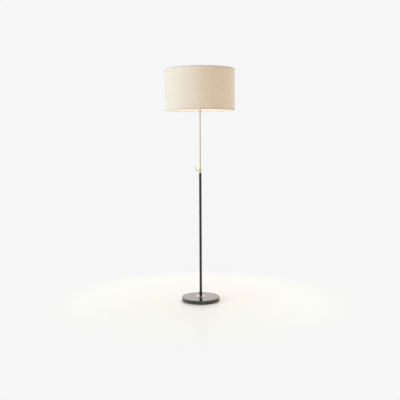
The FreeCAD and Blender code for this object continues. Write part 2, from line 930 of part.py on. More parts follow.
def switch_knob():
    """The turn knob: a round hub with a flat paddle for finger and thumb."""
    hub_end = knob_hub_start + knob_hub_length
    hub = turned([
        (0, knob_hub_start),
        (knob_hub_diameter / 2, knob_hub_start, knob_hub_round),
        (knob_hub_diameter / 2, hub_end, knob_hub_round),
        (0, hub_end),
    ])
    hub_radius = knob_hub_diameter / 2
    half_width = knob_paddle_width / 2
    half_thickness = knob_paddle_thickness / 2
    widened = knob_paddle_start + knob_paddle_flare
    outline = [
        (V(-half_thickness, -hub_radius, knob_paddle_start), 0),
        (V(-half_thickness, -half_width, widened), knob_flare_round),
        (V(-half_thickness, -half_width, knob_paddle_reach), knob_corner_round),
        (V(-half_thickness, half_width, knob_paddle_reach), knob_corner_round),
        (V(-half_thickness, half_width, widened), knob_flare_round),
        (V(-half_thickness, hub_radius, knob_paddle_start), 0),
    ]
    blade = Part.Face(Part.Wire(rounded_edges(outline, closed=True)))
    paddle = blade.extrude(V(knob_paddle_thickness, 0, 0))
    shaft = Part.makeCylinder(switch_shaft_diameter / 2, switch_shaft_outer)
    knob = hub.fuse(paddle).removeSplitter().cut(shaft)
    return aimed(knob, V(0, 0, switch_axis), FRONT)


# ---- Bulb ---------------------------------------------------------------------------------------
bulb_tip = body_top + contact_lift + running_gap
bulb_insulator_foot = bulb_tip + bulb_contact_height
bulb_cap_foot = bulb_insulator_foot + bulb_insulator_height
bulb_cap_top = bulb_cap_foot + bulb_cap_length
bulb_top = bulb_tip + bulb_length


def bulb_contact():
    return Part.makeCylinder(bulb_contact_diameter / 2, bulb_contact_height, V(0, 0, bulb_tip))


def bulb_insulator():
    """The black glass cone between the bulb's contact and its cap."""
    return turned([
        (0, bulb_insulator_foot),
        (bulb_contact_diameter / 2, bulb_insulator_foot),
        (bulb_cap_radius - bulb_cap_wall, bulb_cap_foot),
        (0, bulb_cap_foot),
    ])


def bulb_cap():
    """The bulb's screw cap, as the smooth cup that its thread is rolled on."""
    bore = bulb_cap_radius - bulb_cap_wall
    return turned([
        (0, bulb_cap_foot),
        (bulb_cap_radius, bulb_cap_foot, edge_round),
        (bulb_cap_radius, bulb_cap_top),
        (bore, bulb_cap_top),
        (bore, bulb_cap_foot + bulb_cap_wall),
        (0, bulb_cap_foot + bulb_cap_wall),
    ])


def globe_corners(inset):
    """The glass's outline from its crown down to its neck, moved inwards by the inset."""
    globe = bulb_diameter / 2 - inset
    neck = bulb_cap_radius - bulb_cap_wall - running_gap - inset
    equator = bulb_top - bulb_diameter / 2
    return [
        (0, bulb_top - inset),
        (globe, bulb_top - inset, globe - bulb_crown_flat),
        (globe, equator - bulb_shoulder_drop, bulb_shoulder_bend - inset),
        (neck, bulb_cap_top + bulb_neck_height, bulb_neck_bend + inset),
        (neck, bulb_cap_top - bulb_neck_in_cap),
    ]


def bulb_glass():
    """The opal glass, blown to an even wall and open at its neck in the cap."""
    outside = globe_corners(0)
    inside = globe_corners(bulb_wall)
    return turned(outside + inside[::-1])


# ---- Drum shade ---------------------------------------------------------------------------------
ring_radius = shade_bore - ring_wire_diameter / 2
ring_level = shade_top - trim_thickness - running_gap - ring_wire_diameter / 2
foot_ring_radius = shade_bore - foot_ring_wire_diameter / 2
foot_ring_level = shade_foot + trim_thickness + running_gap + foot_ring_wire_diameter / 2
arm_level = shade_seat + spider_washer_thickness / 2


def wire_ring(radius, level, wire_diameter):
    """A ring of round wire about Z."""
    return Part.makeTorus(radius, wire_diameter / 2, V(0, 0, level))


def shade_linen():
    """The outer cloth of the drum."""
    return ring_of(lining_radius, linen_radius, shade_foot + trim_thickness, shade_top - trim_thickness)


def shade_lining():
    """The stiff white sheet that the linen is laid on."""
    return ring_of(shade_bore, lining_radius, shade_foot + trim_thickness, shade_top - trim_thickness)


def spider_arm():
    """One arm of the spider along +X, from inside the washer out to the top ring."""
    end = ring_radius - ring_wire_diameter / 2
    drop_end = end - spider_level_run
    drop_start = drop_end - spider_slope_run
    return rod_along([
        (V(spider_washer_diameter / 2 - spider_foothold, 0, arm_level), 0),
        (V(drop_start, 0, arm_level), spider_bend),
        (V(drop_end, 0, ring_level), spider_bend),
        (V(end + weld_overlap, 0, ring_level), 0),
    ], spider_wire_diameter / 2)


def spider_turns():
    """The angle of each arm about Z, in degrees."""
    return [spider_first_arm + i * 360 / spider_arms for i in range(spider_arms)]


def shade_spider():
    """The washer and its arms, which hang the shade on the harp."""
    washer = Part.makeCylinder(
        spider_washer_diameter / 2, spider_washer_thickness, V(0, 0, shade_seat))
    arms = [spider_arm().rotated(V(0, 0, 0), UP, turn) for turn in spider_turns()]
    spider = washer.fuse(arms).removeSplitter()
    hole = Part.makeCylinder(post_diameter / 2 + loose_gap, shade_top, V(0, 0, 0))
    ring = wire_ring(ring_radius, ring_level, ring_wire_diameter)
    return spider.cut([hole, ring])


def trim(edge, inward, inner_radius):
    """The rolled strip of linen over one edge of the drum. Inward is 1 up from a foot, -1 down."""
    outside = linen_radius + trim_thickness
    inside = inner_radius - running_gap
    return turned([
        (outside, edge + inward * trim_outer_height),
        (outside, edge, trim_round),
        (inside - trim_thickness, edge, trim_round),
        (inside - trim_thickness, edge + inward * trim_inner_height),
        (inside, edge + inward * trim_inner_height),
        (inside, edge + inward * trim_thickness),
        (linen_radius, edge + inward * trim_thickness),
        (linen_radius, edge + inward * trim_outer_height),
    ])


def shade_top_trim():
    """The top edge's strip, slit where the spider's arms pass."""
    strip = trim(shade_top, -1, ring_radius - ring_wire_diameter / 2)
    slits = []
    for turn in spider_turns():
        way = Part.makeCylinder(
            spider_wire_diameter / 2 + running_gap, ring_radius, V(0, 0, ring_level), V(1, 0, 0))
        slits.append(way.rotated(V(0, 0, 0), UP, turn))
    return strip.cut(slits)


def shade_foot_trim():
    return trim(shade_foot, 1, foot_ring_radius - foot_ring_wire_diameter / 2)


def finial():
    """The small brass knob that holds the shade down on the harp."""
    foot = shade_seat + spider_washer_thickness
    top = foot + finial_height
    flange = finial_flange_diameter / 2
    waist = finial_waist_diameter / 2
    ball = finial_ball_diameter / 2
    knob = turned([
        (0, foot),
        (flange, foot, edge_round),
        (flange, foot + finial_flange_height, finial_flange_round),
        (waist, foot + finial_waist_foot, finial_waist_fillet),
        (waist, foot + finial_waist_top, finial_waist_fillet),
        (ball, foot + finial_ball_foot, finial_ball_foot_round),
        (ball, top, finial_ball_crown_round),
        (0, top),
    ])
    thread = Part.makeCylinder(post_diameter / 2, post_height + running_gap, V(0, 0, shade_seat))
    return knob.cut(thread)


# ---- Nodes --------------------------------------------------------------------------------------
def all_nodes():
    """Every piece of the lamp by its node's name."""
    return {
        "felt_pad": felt_pad(),
        "stone_base": stone_base(),
        "backing_plate": backing_plate(),
        "base_washer": base_washer(),
        "base_nut": base_nut(),
        "foot_nipple": foot_nipple(),
        "cord_bush": cord_bush(),
        "base_rosette": base_rosette(),
        "foot_ferrule": foot_ferrule(),
        "ferrule_grub_screw": ferrule_grub_screw(),
        "lower_tube": lower_tube(),
        "clamp_collar": clamp_collar(),
        "guide_bush": guide_bush(),
        "clamp_pad": clamp_pad(),
        "clamp_lever": clamp_lever(),
        "glide_bush": glide_bush(),
        "mast_tube": mast_tube(),
        "mast_plug": mast_plug(),
        "stop_ring": stop_ring(),
        "mast_coupling": mast_coupling(),
        "holder_nipple": holder_nipple(),
        "harp_saddle": harp_saddle(),
        "harp_wire": harp_wire(),
        "harp_sleeves": harp_sleeves(),
        "harp_stud": harp_stud(),
        "holder_cap": holder_cap(),
        "holder_shell": holder_shell(),
        "holder_paper": holder_paper(),
        "holder_body": holder_body(),
        "terminal_screws": terminal_screws(),
        "screw_shell": screw_shell(),
        "centre_contact": centre_contact(),
        "switch_shaft": switch_shaft(),
        "switch_knob": switch_knob(),
        "bulb_contact": bulb_contact(),
        "bulb_insulator": bulb_insulator(),
        "bulb_cap": bulb_cap(),
        "bulb_glass": bulb_glass(),
        "shade_linen": shade_linen(),
        "shade_lining": shade_lining(),
        "shade_top_ring": wire_ring(ring_radius, ring_level, ring_wire_diameter),
        "shade_foot_ring": wire_ring(foot_ring_radius, foot_ring_level, foot_ring_wire_diameter),
        "shade_spider": shade_spider(),
        "shade_top_trim": shade_top_trim(),
        "shade_foot_trim": shade_foot_trim(),
        "finial": finial(),
    }


os.makedirs("parts", exist_ok=True)
for name, shape in all_nodes().items():
    if not shape.isValid():
        raise ValueError(name + " isn't a valid solid")
    shape.exportStep("parts/" + name + ".step")
    print(f"{name:20s} solids {len(shape.Solids)}  volume {shape.Volume / 1000:9.3f} cm3")
print(f"shade's foot {shade_foot:.1f}, top {shade_top:.1f}, clamp axis {clamp_axis:.1f}")
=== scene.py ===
import logging
import math
from dataclasses import dataclass
from enum import Enum
from typing import Any, Callable, Sequence

import bmesh
import bpy
from bpy.types import Light, Material, Node, NodeSocket, NodeTree, Object
from mathutils import Matrix, Vector


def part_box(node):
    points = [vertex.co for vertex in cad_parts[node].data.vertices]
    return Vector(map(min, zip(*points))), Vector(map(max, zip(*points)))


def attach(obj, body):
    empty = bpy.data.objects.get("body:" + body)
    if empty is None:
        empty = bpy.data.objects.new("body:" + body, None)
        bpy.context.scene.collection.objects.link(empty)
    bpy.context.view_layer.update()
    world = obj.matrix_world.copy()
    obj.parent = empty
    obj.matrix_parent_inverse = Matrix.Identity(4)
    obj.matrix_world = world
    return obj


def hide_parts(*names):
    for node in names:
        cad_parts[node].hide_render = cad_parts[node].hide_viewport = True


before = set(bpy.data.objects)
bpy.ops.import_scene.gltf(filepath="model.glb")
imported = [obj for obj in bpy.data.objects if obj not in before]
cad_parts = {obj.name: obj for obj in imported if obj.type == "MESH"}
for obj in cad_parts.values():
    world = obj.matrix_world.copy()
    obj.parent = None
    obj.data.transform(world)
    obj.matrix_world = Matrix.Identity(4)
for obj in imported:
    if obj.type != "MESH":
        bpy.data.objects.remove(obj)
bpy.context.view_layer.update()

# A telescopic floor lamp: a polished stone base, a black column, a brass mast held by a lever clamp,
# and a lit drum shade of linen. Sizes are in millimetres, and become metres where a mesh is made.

MM = 0.001
log = logging.getLogger("floor_lamp")

Outline = Callable[[float], Sequence[Vector]]


class Body(Enum):
    """The bodies that the pieces made here ride on."""

    STAND = "stand"
    CLAMP_LEVER = "clamp_lever"
    MAST = "mast"


# ---- Nodes --------------------------------------------------------------------------------------
def linear(code: str) -> tuple[float, float, float, float]:
    """Turns an sRGB hex colour into the linear one that the nodes take.

    Args:
        code: the colour, as "#rrggbb".

    Returns:
        Red, green, blue and an alpha of 1.
    """
    shares = [int(code[i:i + 2], 16) / 255 for i in (1, 3, 5)]
    red, green, blue = (s / 12.92 if s <= 0.04045 else ((s + 0.055) / 1.055) ** 2.4 for s in shares)
    return red, green, blue, 1.0


def feed(node: Node, inputs: dict[str | int, Any]) -> None:
    """Sets or links a node's inputs.

    Args:
        node: the node.
        inputs: for each input's name or number, a value, a socket, or a node, whose first
            output in use is linked.
    """
    for key, value in inputs.items():
        socket = node.inputs[key] if isinstance(key, int) else next(
            s for s in node.inputs if s.enabled and s.name == key)
        if isinstance(value, Node):
            value = next(s for s in value.outputs if s.enabled)
        if isinstance(value, NodeSocket):
            node.id_data.links.new(value, socket)
        else:
            socket.default_value = value


def add_node(tree: NodeTree, kind: str, inputs: dict[str | int, Any] | None = None,
             **settings: Any) -> Node:
    """Adds a node with its settings and links.

    Args:
        tree: the node tree that it goes in.
        kind: the node's type, without "ShaderNode".
        inputs: what goes into it, as for feed.
        settings: the node's own properties.

    Returns:
        The node.
    """
    node = tree.nodes.new("ShaderNode" + kind)
    for name, value in settings.items():
        setattr(node, name, value)
    feed(node, inputs or {})
    return node


# ---- Finishes -----------------------------------------------------------------------------------
@dataclass(frozen=True)
class Finish:
    """A surface finish: its plain values, and a texture that each kind of finish draws."""

    name: str
    slot: str
    colour: str
    roughness: float
    metallic: float = 0.0

    def material(self) -> Material:
        """Builds the material the first time that it is asked for.

        Returns:
            The material.
        """
        made = bpy.data.materials.get(self.name)
        if made is None:
            made = bpy.data.materials.new(self.name)
            made.use_nodes = True
            made.diffuse_color = linear(self.colour)
            feed(made.node_tree.nodes["Principled BSDF"], {
                "Base Color": linear(self.colour), "Roughness": self.roughness, "Metallic": self.metallic,
                **self.texture(made.node_tree)})
        return made

    def texture(self, tree: NodeTree) -> dict[str, Any]:
        """Draws the finish's own colour, roughness and relief.

        Args:
            tree: the material's node tree.

        Returns:
            What goes into the shader's inputs.
        """
        raise NotImplementedError


@dataclass(frozen=True)
class Noise:
    """A noise over a surface, by the size of its grains in millimetres."""

    size_mm: float
    detail: float = 3.0
    roughness: float = 0.55
    distortion: float = 0.0
    # Less than 1 draws the grains out round the piece.
    squeeze: float = 1.0

    def draw(self, tree: NodeTree) -> Node:
        """Draws the noise in the piece's own frame.

        Args:
            tree: the material's node tree.

        Returns:
            The noise's node.
        """
        place = add_node(tree, "TexCoord").outputs["Object"]
        if self.squeeze != 1.0:
            place = add_node(tree, "Mapping", {
                "Vector": place, "Scale": (self.squeeze, self.squeeze, 1.0)})
        return add_node(tree, "TexNoise", {
            "Vector": place, "Scale": 1 / (self.size_mm * MM), "Detail": self.detail,
            "Roughness": self.roughness, "Distortion": self.distortion})


@dataclass(frozen=True)
class Grained(Finish):
    """A surface with a relief, and with a tone and a gloss that wander a little over it."""

    second_colour: str = "#808080"
    relief: Noise = Noise(1.0)
    relief_mm: float = 0.02
    relief_strength: float = 0.4
    # Without a noise of its own, the tone wanders over this many grains of the relief.
    tone: Noise | None = None
    tone_grains: float = 16.0
    # How far the roughness goes down and up, with the tone's own noise or else with the relief's.
    swing: tuple[float, float] = (0.05, 0.05)
    ior: float = 1.5
    coat: float = 0.0
    coat_roughness: float = 0.03
    sheen: float = 0.0
    sheen_roughness: float = 0.5

    def texture(self, tree: NodeTree) -> dict[str, Any]:
        """Draws the tone, the gloss and the relief.

        Args:
            tree: the material's node tree.

        Returns:
            What goes into the shader's inputs.
        """
        grain = self.relief.draw(tree)
        broad = (self.tone or Noise(self.tone_grains * self.relief.size_mm, 2.0, 0.5)).draw(tree)
        tone = add_node(tree, "Mix", {
            "Factor": broad, "A": linear(self.colour), "B": linear(self.second_colour)},
            data_type="RGBA")
        relief = add_node(tree, "Bump", {
            "Strength": self.relief_strength, "Distance": self.relief_mm * MM, "Height": grain})
        inputs = {"Base Color": tone, "Normal": relief,
                  "Coat Weight": self.coat, "Coat Roughness": self.coat_roughness,
                  "Sheen Weight": self.sheen, "Sheen Roughness": self.sheen_roughness}
        if any(self.swing):
            down, up = self.swing
            inputs["Roughness"] = add_node(tree, "MapRange", {
                "Value": broad if self.tone else grain,
                "To Min": self.roughness - down, "To Max": self.roughness + up})
        return inputs if self.metallic else {**inputs, "IOR": self.ior}


@dataclass(frozen=True)
class LacqueredBrass(Grained):
    """Brass, turned or drawn, polished with a mop and lacquered."""

    # The metal gives a clear warm mirror; the lacquer gives it a second, sharper gloss.
    name: str = "brass_polished_and_lacquered"
    slot: str = "polished_brass"
    colour: str = "#D1C8A8"
    roughness: float = 0.24
    metallic: float = 1.0
    second_colour: str = "#C0B48F"
    # Handling leaves a soft haze in its tone and gloss.
    tone: Noise = Noise(14.0, 3.0, 0.6)
    swing: tuple[float, float] = (0.05, 0.07)
    # Mop lines run round the piece, some 0.05 mm apart. They are drawn at 0.7 mm, or none would show.
    relief: Noise = Noise(0.7, 2.0, 0.5, squeeze=0.08)
    relief_strength: float = 0.12
    coat: float = 0.35
    coat_roughness: float = 0.08


@dataclass(frozen=True)
class PowderCoat(Grained):
    """Steel tube, powder coated satin black and baked."""

    name: str = "steel_powder_coated_satin_black"
    slot: str = "black_steel"
    colour: str = "#171616"
    roughness: float = 0.38
    second_colour: str = "#1F1D1C"
    # Its tone and gloss change slightly every 45 mm or so.
    tone: Noise = Noise(45.5, 3.0, 0.5)
    # The orange peel of a baked powder coat swells and dips about every 1.5 mm. It breaks the tube's
    # long highlight into a soft grain.
    relief: Noise = Noise(1.5, 1.5, 0.45)
    relief_mm: float = 0.03
    relief_strength: float = 0.5
    ior: float = 1.47


@dataclass(frozen=True)
class PolishedMarble(Finish):
    """Black marble, sawn, ground and polished."""

    name: str = "marble_black_polished"
    slot: str = "polished_stone"
    colour: str = "#1B1614"
    roughness: float = 0.07
    cloud: str = "#322822"
    cloud_roughness: float = 0.12
    clouds_per_metre: float = 34.0
    vein: str = "#A0918A"
    fine_vein: str = "#857B76"
    # The one broad vein that the slab shows, right of the rosette, from front to back.
    vein_start_mm: tuple[float, float] = (16.0, -126.0)
    vein_end_mm: tuple[float, float] = (70.0, 106.0)
    vein_half_width_mm: float = 7.0
    vein_gaps_per_metre: float = 45.0
    # The vein fades out from this share of its length, counted from its middle.
    vein_fade: float = 0.4
    # All veins wander within a band this wide.
    wander_mm: float = 34.0
    wanders_per_metre: float = 24.0
    # Fine calcite veins cross a slab like this one every 60 mm or so, in patches.
    fine_spacing_mm: float = 60.0
    fine_width: float = 0.02
    patches_per_metre: float = 11.0
    ior: float = 1.62
    polish: float = 0.4
    polish_tint: str = "#FFF0E6"

    def texture(self, tree: NodeTree) -> dict[str, Any]:
        """Draws the broad vein in its place, a net of fine ones, and soft clouds between them.

        Args:
            tree: the material's node tree.

        Returns:
            What goes into the shader's inputs.
        """
        # A deep mirror gloss over near-black stone, with milky calcite in its cracks.
        place = add_node(tree, "TexCoord").outputs["Object"]
        drift = add_node(tree, "TexNoise", {
            "Vector": place, "Scale": self.wanders_per_metre, "Detail": 4.0, "Roughness": 0.62})
        drift = add_node(tree, "VectorMath", {
            0: drift.outputs["Color"], 1: (0.5, 0.5, 0.5)}, operation="SUBTRACT")
        drift = add_node(tree, "VectorMath", {0: drift, "Scale": self.wander_mm * MM}, operation="SCALE")
        warped = add_node(tree, "VectorMath", {0: place, 1: drift}, operation="ADD")
        clouds = add_node(tree, "TexNoise", {
            "Vector": warped, "Scale": self.clouds_per_metre, "Detail": 6.0})
        clouds = add_node(tree, "MapRange", {"Value": clouds, "From Min": 0.42, "From Max": 0.78})
        fine, broad = self.fine_veins(tree, place, warped), self.broad_vein(tree, warped)
        stone: Any = linear(self.colour)
        for share, colour in ((clouds, self.cloud), (fine, self.fine_vein), (broad, self.vein)):
            stone = add_node(tree, "Mix", {
                "Factor": share, "A": stone, "B": linear(colour)}, data_type="RGBA")
        gloss = add_node(tree, "MapRange", {
            "Value": clouds, "To Min": self.roughness, "To Max": self.cloud_roughness})
        return {"Base Color": stone, "Roughness": gloss, "IOR": self.ior,
                "Coat Weight": self.polish, "Coat Tint": linear(self.polish_tint)}

    def fine_veins(self, tree: NodeTree, place: NodeSocket, warped: Node) -> Node:
        """Draws the net of fine veins, where a noise crosses its middle value.

        Args:
            tree: the material's node tree.
            place: the place on the slab, in metres.
            warped: the same, with the veins' wander.

        Returns:
            The node that gives the veins' share, from 0 to 1.
        """
        net = add_node(tree, "TexNoise", {
            "Vector": warped, "Scale": 1 / (self.fine_spacing_mm * MM), "Detail": 2.0, "Distortion": 0.6})
        ridge = add_node(tree, "Math", {0: net, 1: 0.5}, operation="SUBTRACT")
        ridge = add_node(tree, "Math", {0: ridge}, operation="ABSOLUTE")
        thin = add_node(tree, "MapRange", {
            "Value": ridge, "From Max": self.fine_width, "To Min": 1.0, "To Max": 0.0},
            interpolation_type="SMOOTHSTEP")
        patches = add_node(tree, "TexNoise", {
            "Vector": place, "Scale": self.patches_per_metre, "Detail": 2.0})
        patches = add_node(tree, "MapRange", {"Value": patches, "From Min": 0.4, "From Max": 0.6})
        return add_node(tree, "Math", {0: thin, 1: patches}, operation="MULTIPLY")

    def broad_vein(self, tree: NodeTree, place: Node) -> Node:
        """Draws the broad vein's mask along its line across the slab.

        Args:
            tree: the material's node tree.
            place: the place on the slab, in metres.

        Returns:
            The node that gives the vein's share, from 0 to 1.
        """
        start = Vector((*self.vein_start_mm, 0.0)) * MM
        along = Vector((*self.vein_end_mm, 0.0)) * MM - start
        length = along.length
        along.normalize()
        across = Vector((-along.y, along.x, 0.0))
        offset = add_node(tree, "VectorMath", {0: place, 1: start}, operation="SUBTRACT")
        share = add_node(tree, "TexNoise", {
            "Vector": place, "Scale": self.vein_gaps_per_metre, "Detail": 5.0})
        share = add_node(tree, "MapRange", {"Value": share, "From Min": 0.4, "From Max": 0.62})
        for way, middle, full, none in ((across, 0.0, 0.0, self.vein_half_width_mm * MM),
                                        (along, length / 2, length * self.vein_fade, length / 2)):
            off = add_node(tree, "VectorMath", {0: offset, 1: way}, operation="DOT_PRODUCT")
            off = add_node(tree, "Math", {0: off, 1: middle}, operation="SUBTRACT")
            off = add_node(tree, "Math", {0: off}, operation="ABSOLUTE")
            within = add_node(tree, "MapRange", {
                "Value": off, "From Min": full, "From Max": none, "To Min": 1.0, "To Max": 0.0},
                interpolation_type="SMOOTHSTEP")
            share = add_node(tree, "Math", {0: share, 1: within}, operation="MULTIPLY")
        return share


@dataclass(frozen=True)
class PressedFelt(Grained):
    """Black wool felt, pressed and cut."""

    # Loose fibre ends catch light along the edge, so the felt looks soft and never glossy.
    name: str = "felt_wool_pressed_black"
    slot: str = "felt"
    colour: str = "#1F1E20"
    roughness: float = 0.95
    second_colour: str = "#3A383B"
    # Matted fibres some 0.9 mm apart. The tone follows the relief and is painted a little lighter where
    # the fibres stand up: a painted highlight on their tips.
    tone: Noise = Noise(0.9, 5.0, 0.7, 1.2)
    relief: Noise = Noise(0.9, 5.0, 0.7, 1.2)
    relief_mm: float = 0.2
    relief_strength: float = 0.7
    swing: tuple[float, float] = (0.0, 0.0)
    sheen: float = 0.5
    sheen_roughness: float = 0.6


@dataclass(frozen=True)
class PlainLinen(Finish):
    """Unbleached linen in a plain weave, with the lamplight from inside the drum painted on as a glow."""

    name: str = "linen_plain_weave_laminated"
    slot: str = "natural_linen"
    colour: str = "#E1D5C2"
    roughness: float = 0.86
    slub: str = "#D0C1A7"
    # The lamplight that comes through the cloth is painted on as an emission of this colour and strength.
    glow: str = "#F0B878"
    glow_strength: float = 0.25
    drum_radius_mm: float = 225.0
    lap_mm: float = 12.0
    # The threads are 0.8 mm apart. They are drawn at twice that, or none would show.
    thread_mm: float = 1.6
    # They wander within the width of two threads, and their tone shifts every 50 mm or so.
    wander_threads: float = 2.0
    wanders_per_mm: float = 0.11
    mottles_per_mm: float = 0.02
    mottle_share: float = 0.5
    # Slubs are thick places in a thread, 20 to 60 mm long. They are drawn three threads wide.
    slub_width_mm: float = 2.4
    slub_length_mm: float = 46.0
    # The darker tone's share: its slope over the slubs and the mottle, and its start.
    slub_tone: tuple[float, float] = (0.55, -0.06)
    slub_rise: float = 0.8
    relief_mm: float = 0.16
    # How much dimmer the light is through the lap, a slub, and a full thread.
    lap_shade: float = 0.2
    slub_shade: float = 0.2
    thread_shade: float = 0.12
    ior: float = 1.45

    def texture(self, tree: NodeTree) -> dict[str, Any]:
        """Draws the weave, its slubs and the painted glow of the light that comes through it.

        Args:
            tree: the material's node tree.

        Returns:
            What goes into the shader's inputs.
        """
        # Matt threads with a soft sheen at a low angle; slubs look darker where light comes through.
        place = add_node(tree, "TexCoord").outputs["Object"]
        axes = add_node(tree, "SeparateXYZ", {0: place}).outputs
        front = add_node(tree, "Math", {0: axes["Y"], 1: -1.0}, operation="MULTIPLY")
        turn = add_node(tree, "Math", {0: axes["X"], 1: front}, operation="ARCTAN2")
        round_mm = add_node(tree, "Math", {0: turn, 1: self.drum_radius_mm}, operation="MULTIPLY")
        up_mm = add_node(tree, "Math", {0: axes["Z"], 1: MM}, operation="DIVIDE")
        cloth = add_node(tree, "CombineXYZ", {"X": round_mm, "Y": up_mm})
        wander = add_node(tree, "TexNoise", {
            "Vector": cloth, "Scale": self.wanders_per_mm, "Detail": 3.0}, noise_dimensions="2D")
        wander = add_node(tree, "VectorMath", {
            0: wander.outputs["Color"], "Scale": self.wander_threads * self.thread_mm}, operation="SCALE")
        cloth = add_node(tree, "VectorMath", {0: cloth, 1: wander}, operation="ADD")
        crossing = self.weave(tree, cloth)
        slubs = self.slubs(tree, cloth)
        mottle = add_node(tree, "TexNoise", {
            "Vector": cloth, "Scale": self.mottles_per_mm, "Detail": 4.0}, noise_dimensions="2D")
        threads = add_node(tree, "Math", {
            0: mottle, 1: self.mottle_share, 2: slubs}, operation="MULTIPLY_ADD")
        slope, start = self.slub_tone
        threads = add_node(tree, "Math", {0: threads, 1: slope, 2: start}, operation="MULTIPLY_ADD",
                           use_clamp=True)
        shade = add_node(tree, "Mix", {
            "Factor": threads, "A": linear(self.colour), "B": linear(self.slub)}, data_type="RGBA")
        height = add_node(tree, "Math", {
            0: slubs, 1: self.slub_rise, 2: crossing}, operation="MULTIPLY_ADD")
        relief = add_node(tree, "Bump", {
            "Strength": 0.6, "Distance": self.relief_mm * MM, "Height": height})
        return {"Base Color": shade, "Normal": relief, "IOR": self.ior,
                "Emission Color": self.light_through(tree, turn, slubs, crossing),
                "Emission Strength": self.glow_strength, "Sheen Weight": 0.6, "Sheen Roughness": 0.4}

    def weave(self, tree: NodeTree, cloth: Node) -> Node:
        """Draws the plain weave.

        Args:
            tree: the material's node tree.
            cloth: the place on the cloth, in millimetres.

        Returns:
            The node that gives how full the threads are, from 0 at their edges to 1 at their crossings.
        """
        phase = add_node(tree, "VectorMath", {
            0: cloth, "Scale": math.pi / self.thread_mm}, operation="SCALE")
        waves = add_node(tree, "VectorMath", {0: phase}, operation="SINE")
        waves = add_node(tree, "SeparateXYZ", {0: waves}).outputs
        weave = add_node(tree, "Math", {0: waves["X"], 1: waves["Y"]}, operation="MULTIPLY")
        weave = add_node(tree, "Math", {0: weave}, operation="ABSOLUTE")
        return add_node(tree, "Math", {0: weave, 1: 0.5}, operation="POWER")

    def slubs(self, tree: NodeTree, cloth: Node) -> Node:
        """Draws the thick places of the threads, those that run up and those that run round.

        Args:
            tree: the material's node tree.
            cloth: the place on the cloth, in millimetres.

        Returns:
            The node that gives the slubs' share, from 0 to 1.
        """
        wide, long = 1 / self.slub_width_mm, 1 / self.slub_length_mm
        ways = []
        for stretch in ((wide, long, 0.0), (long, wide, 0.0)):
            grid = add_node(tree, "VectorMath", {0: cloth, 1: stretch}, operation="MULTIPLY")
            streaks = add_node(tree, "TexNoise", {
                "Vector": grid, "Scale": 1.0, "Detail": 2.0}, noise_dimensions="2D")
            ways.append(add_node(tree, "MapRange", {"Value": streaks, "From Min": 0.5, "From Max": 0.78}))
        return add_node(tree, "Math", {0: ways[0], 1: ways[1]}, operation="MAXIMUM")

    def light_through(self, tree: NodeTree, turn: Node, slubs: Node, crossing: Node) -> Node:
        """Paints the lamplight that comes through as a glow, dimmer at the back's lap, slubs and full
        threads.

        Args:
            tree: the material's node tree.
            turn: the angle round the drum from its front.
            slubs: the slubs' share.
            crossing: how full the threads are, from 0 to 1.

        Returns:
            The node that gives the light's colour.
        """
        back = math.pi - self.lap_mm / self.drum_radius_mm
        angle = add_node(tree, "Math", {0: turn}, operation="ABSOLUTE")
        lapped = add_node(tree, "Math", {0: angle, 1: back}, operation="GREATER_THAN")
        veils = (lapped, self.lap_shade), (slubs, self.slub_shade), (crossing, self.thread_shade)
        light: Any = 1.0
        for veil, shade in veils:
            light = add_node(tree, "Math", {0: veil, 1: -shade, 2: light}, operation="MULTIPLY_ADD",
                             use_clamp=True)
        return add_node(tree, "Mix", {
            "Factor": light, "A": linear("#000000"), "B": linear(self.glow)}, data_type="RGBA")


@dataclass(frozen=True)
class LaminatedLining(Grained):
    """White styrene sheet, calendered smooth, with the linen laid on its back."""

    # A smooth sheet that scatters light, with a low satin gloss and a trace of the weave.
    name: str = "styrene_sheet_white_laminated"
    slot: str = "white_lining"
    colour: str = "#F5EFE4"
    roughness: float = 0.42
    # Faint clouds of glue show through it.
    second_colour: str = "#EFE7DA"
    tone: Noise = Noise(55.6, 3.0, 0.5)
    # The linen's threads print through, drawn at twice their size as on the linen itself.
    relief: Noise = Noise(1.6, 1.0, 0.5)
    relief_mm: float = 0.05
    relief_strength: float = 0.25
    swing: tuple[float, float] = (0.0, 0.0)
    ior: float = 1.55


@dataclass(frozen=True)
class OpalGlass(Finish):
    """Soda-lime glass, blown and coated white inside, with a lit filament behind it."""

    name: str = "glass_blown_opal_lit"
    slot: str = "opal_glass"
    colour: str = "#F7F1E6"
    roughness: float = 0.12
    light: str = "#FFE3B8"
    pale_light: str = "#FFEFD2"
    strength: float = 2.6
    swirl: Noise = Noise(24.0, 2.0, 0.5)
    gloss: float = 0.6
    ior: float = 1.52

    def texture(self, tree: NodeTree) -> dict[str, Any]:
        """Draws the white coat's slight unevenness, which the light inside shows up.

        Args:
            tree: the material's node tree.

        Returns:
            What goes into the shader's inputs.
        """
        # Glossy outside, evenly white inside, and brighter than anything round it.
        tone = add_node(tree, "Mix", {
            "Factor": self.swirl.draw(tree), "A": linear(self.light), "B": linear(self.pale_light)},
            data_type="RGBA")
        return {"Emission Color": tone, "Emission Strength": self.strength,
                "Coat Weight": self.gloss, "IOR": self.ior}


BRASS = LacqueredBrass()
BLACK_COAT = PowderCoat()
MARBLE = PolishedMarble()
FELT = PressedFelt()
LINEN = PlainLinen()
# The trims lie two and three layers deep over wire, so hardly any lamplight comes through them, and their
# painted glow is faint.
LINEN_TRIM = PlainLinen(name="linen_bias_strip_folded", glow_strength=0.06, lap_mm=8.0)
LINING = LaminatedLining()
OPAL = OpalGlass()
# A thin baked epoxy skin over wire: smooth, white and a little glossy.
WHITE_EPOXY = Grained(
    "steel_wire_epoxy_coated_white", "white_wire", "#F0EDE6", 0.32, second_colour="#E6E2D9",
    relief=Noise(1.2), coat=0.3)
# Nickel over brass: a cool bright mirror, a little soft from the barrel.
NICKEL = Grained(
    "brass_nickel_plated", "nickel_plate", "#CFCAC0", 0.22, metallic=1.0, second_colour="#BDB8AE",
    relief=Noise(0.8), relief_mm=0.01)
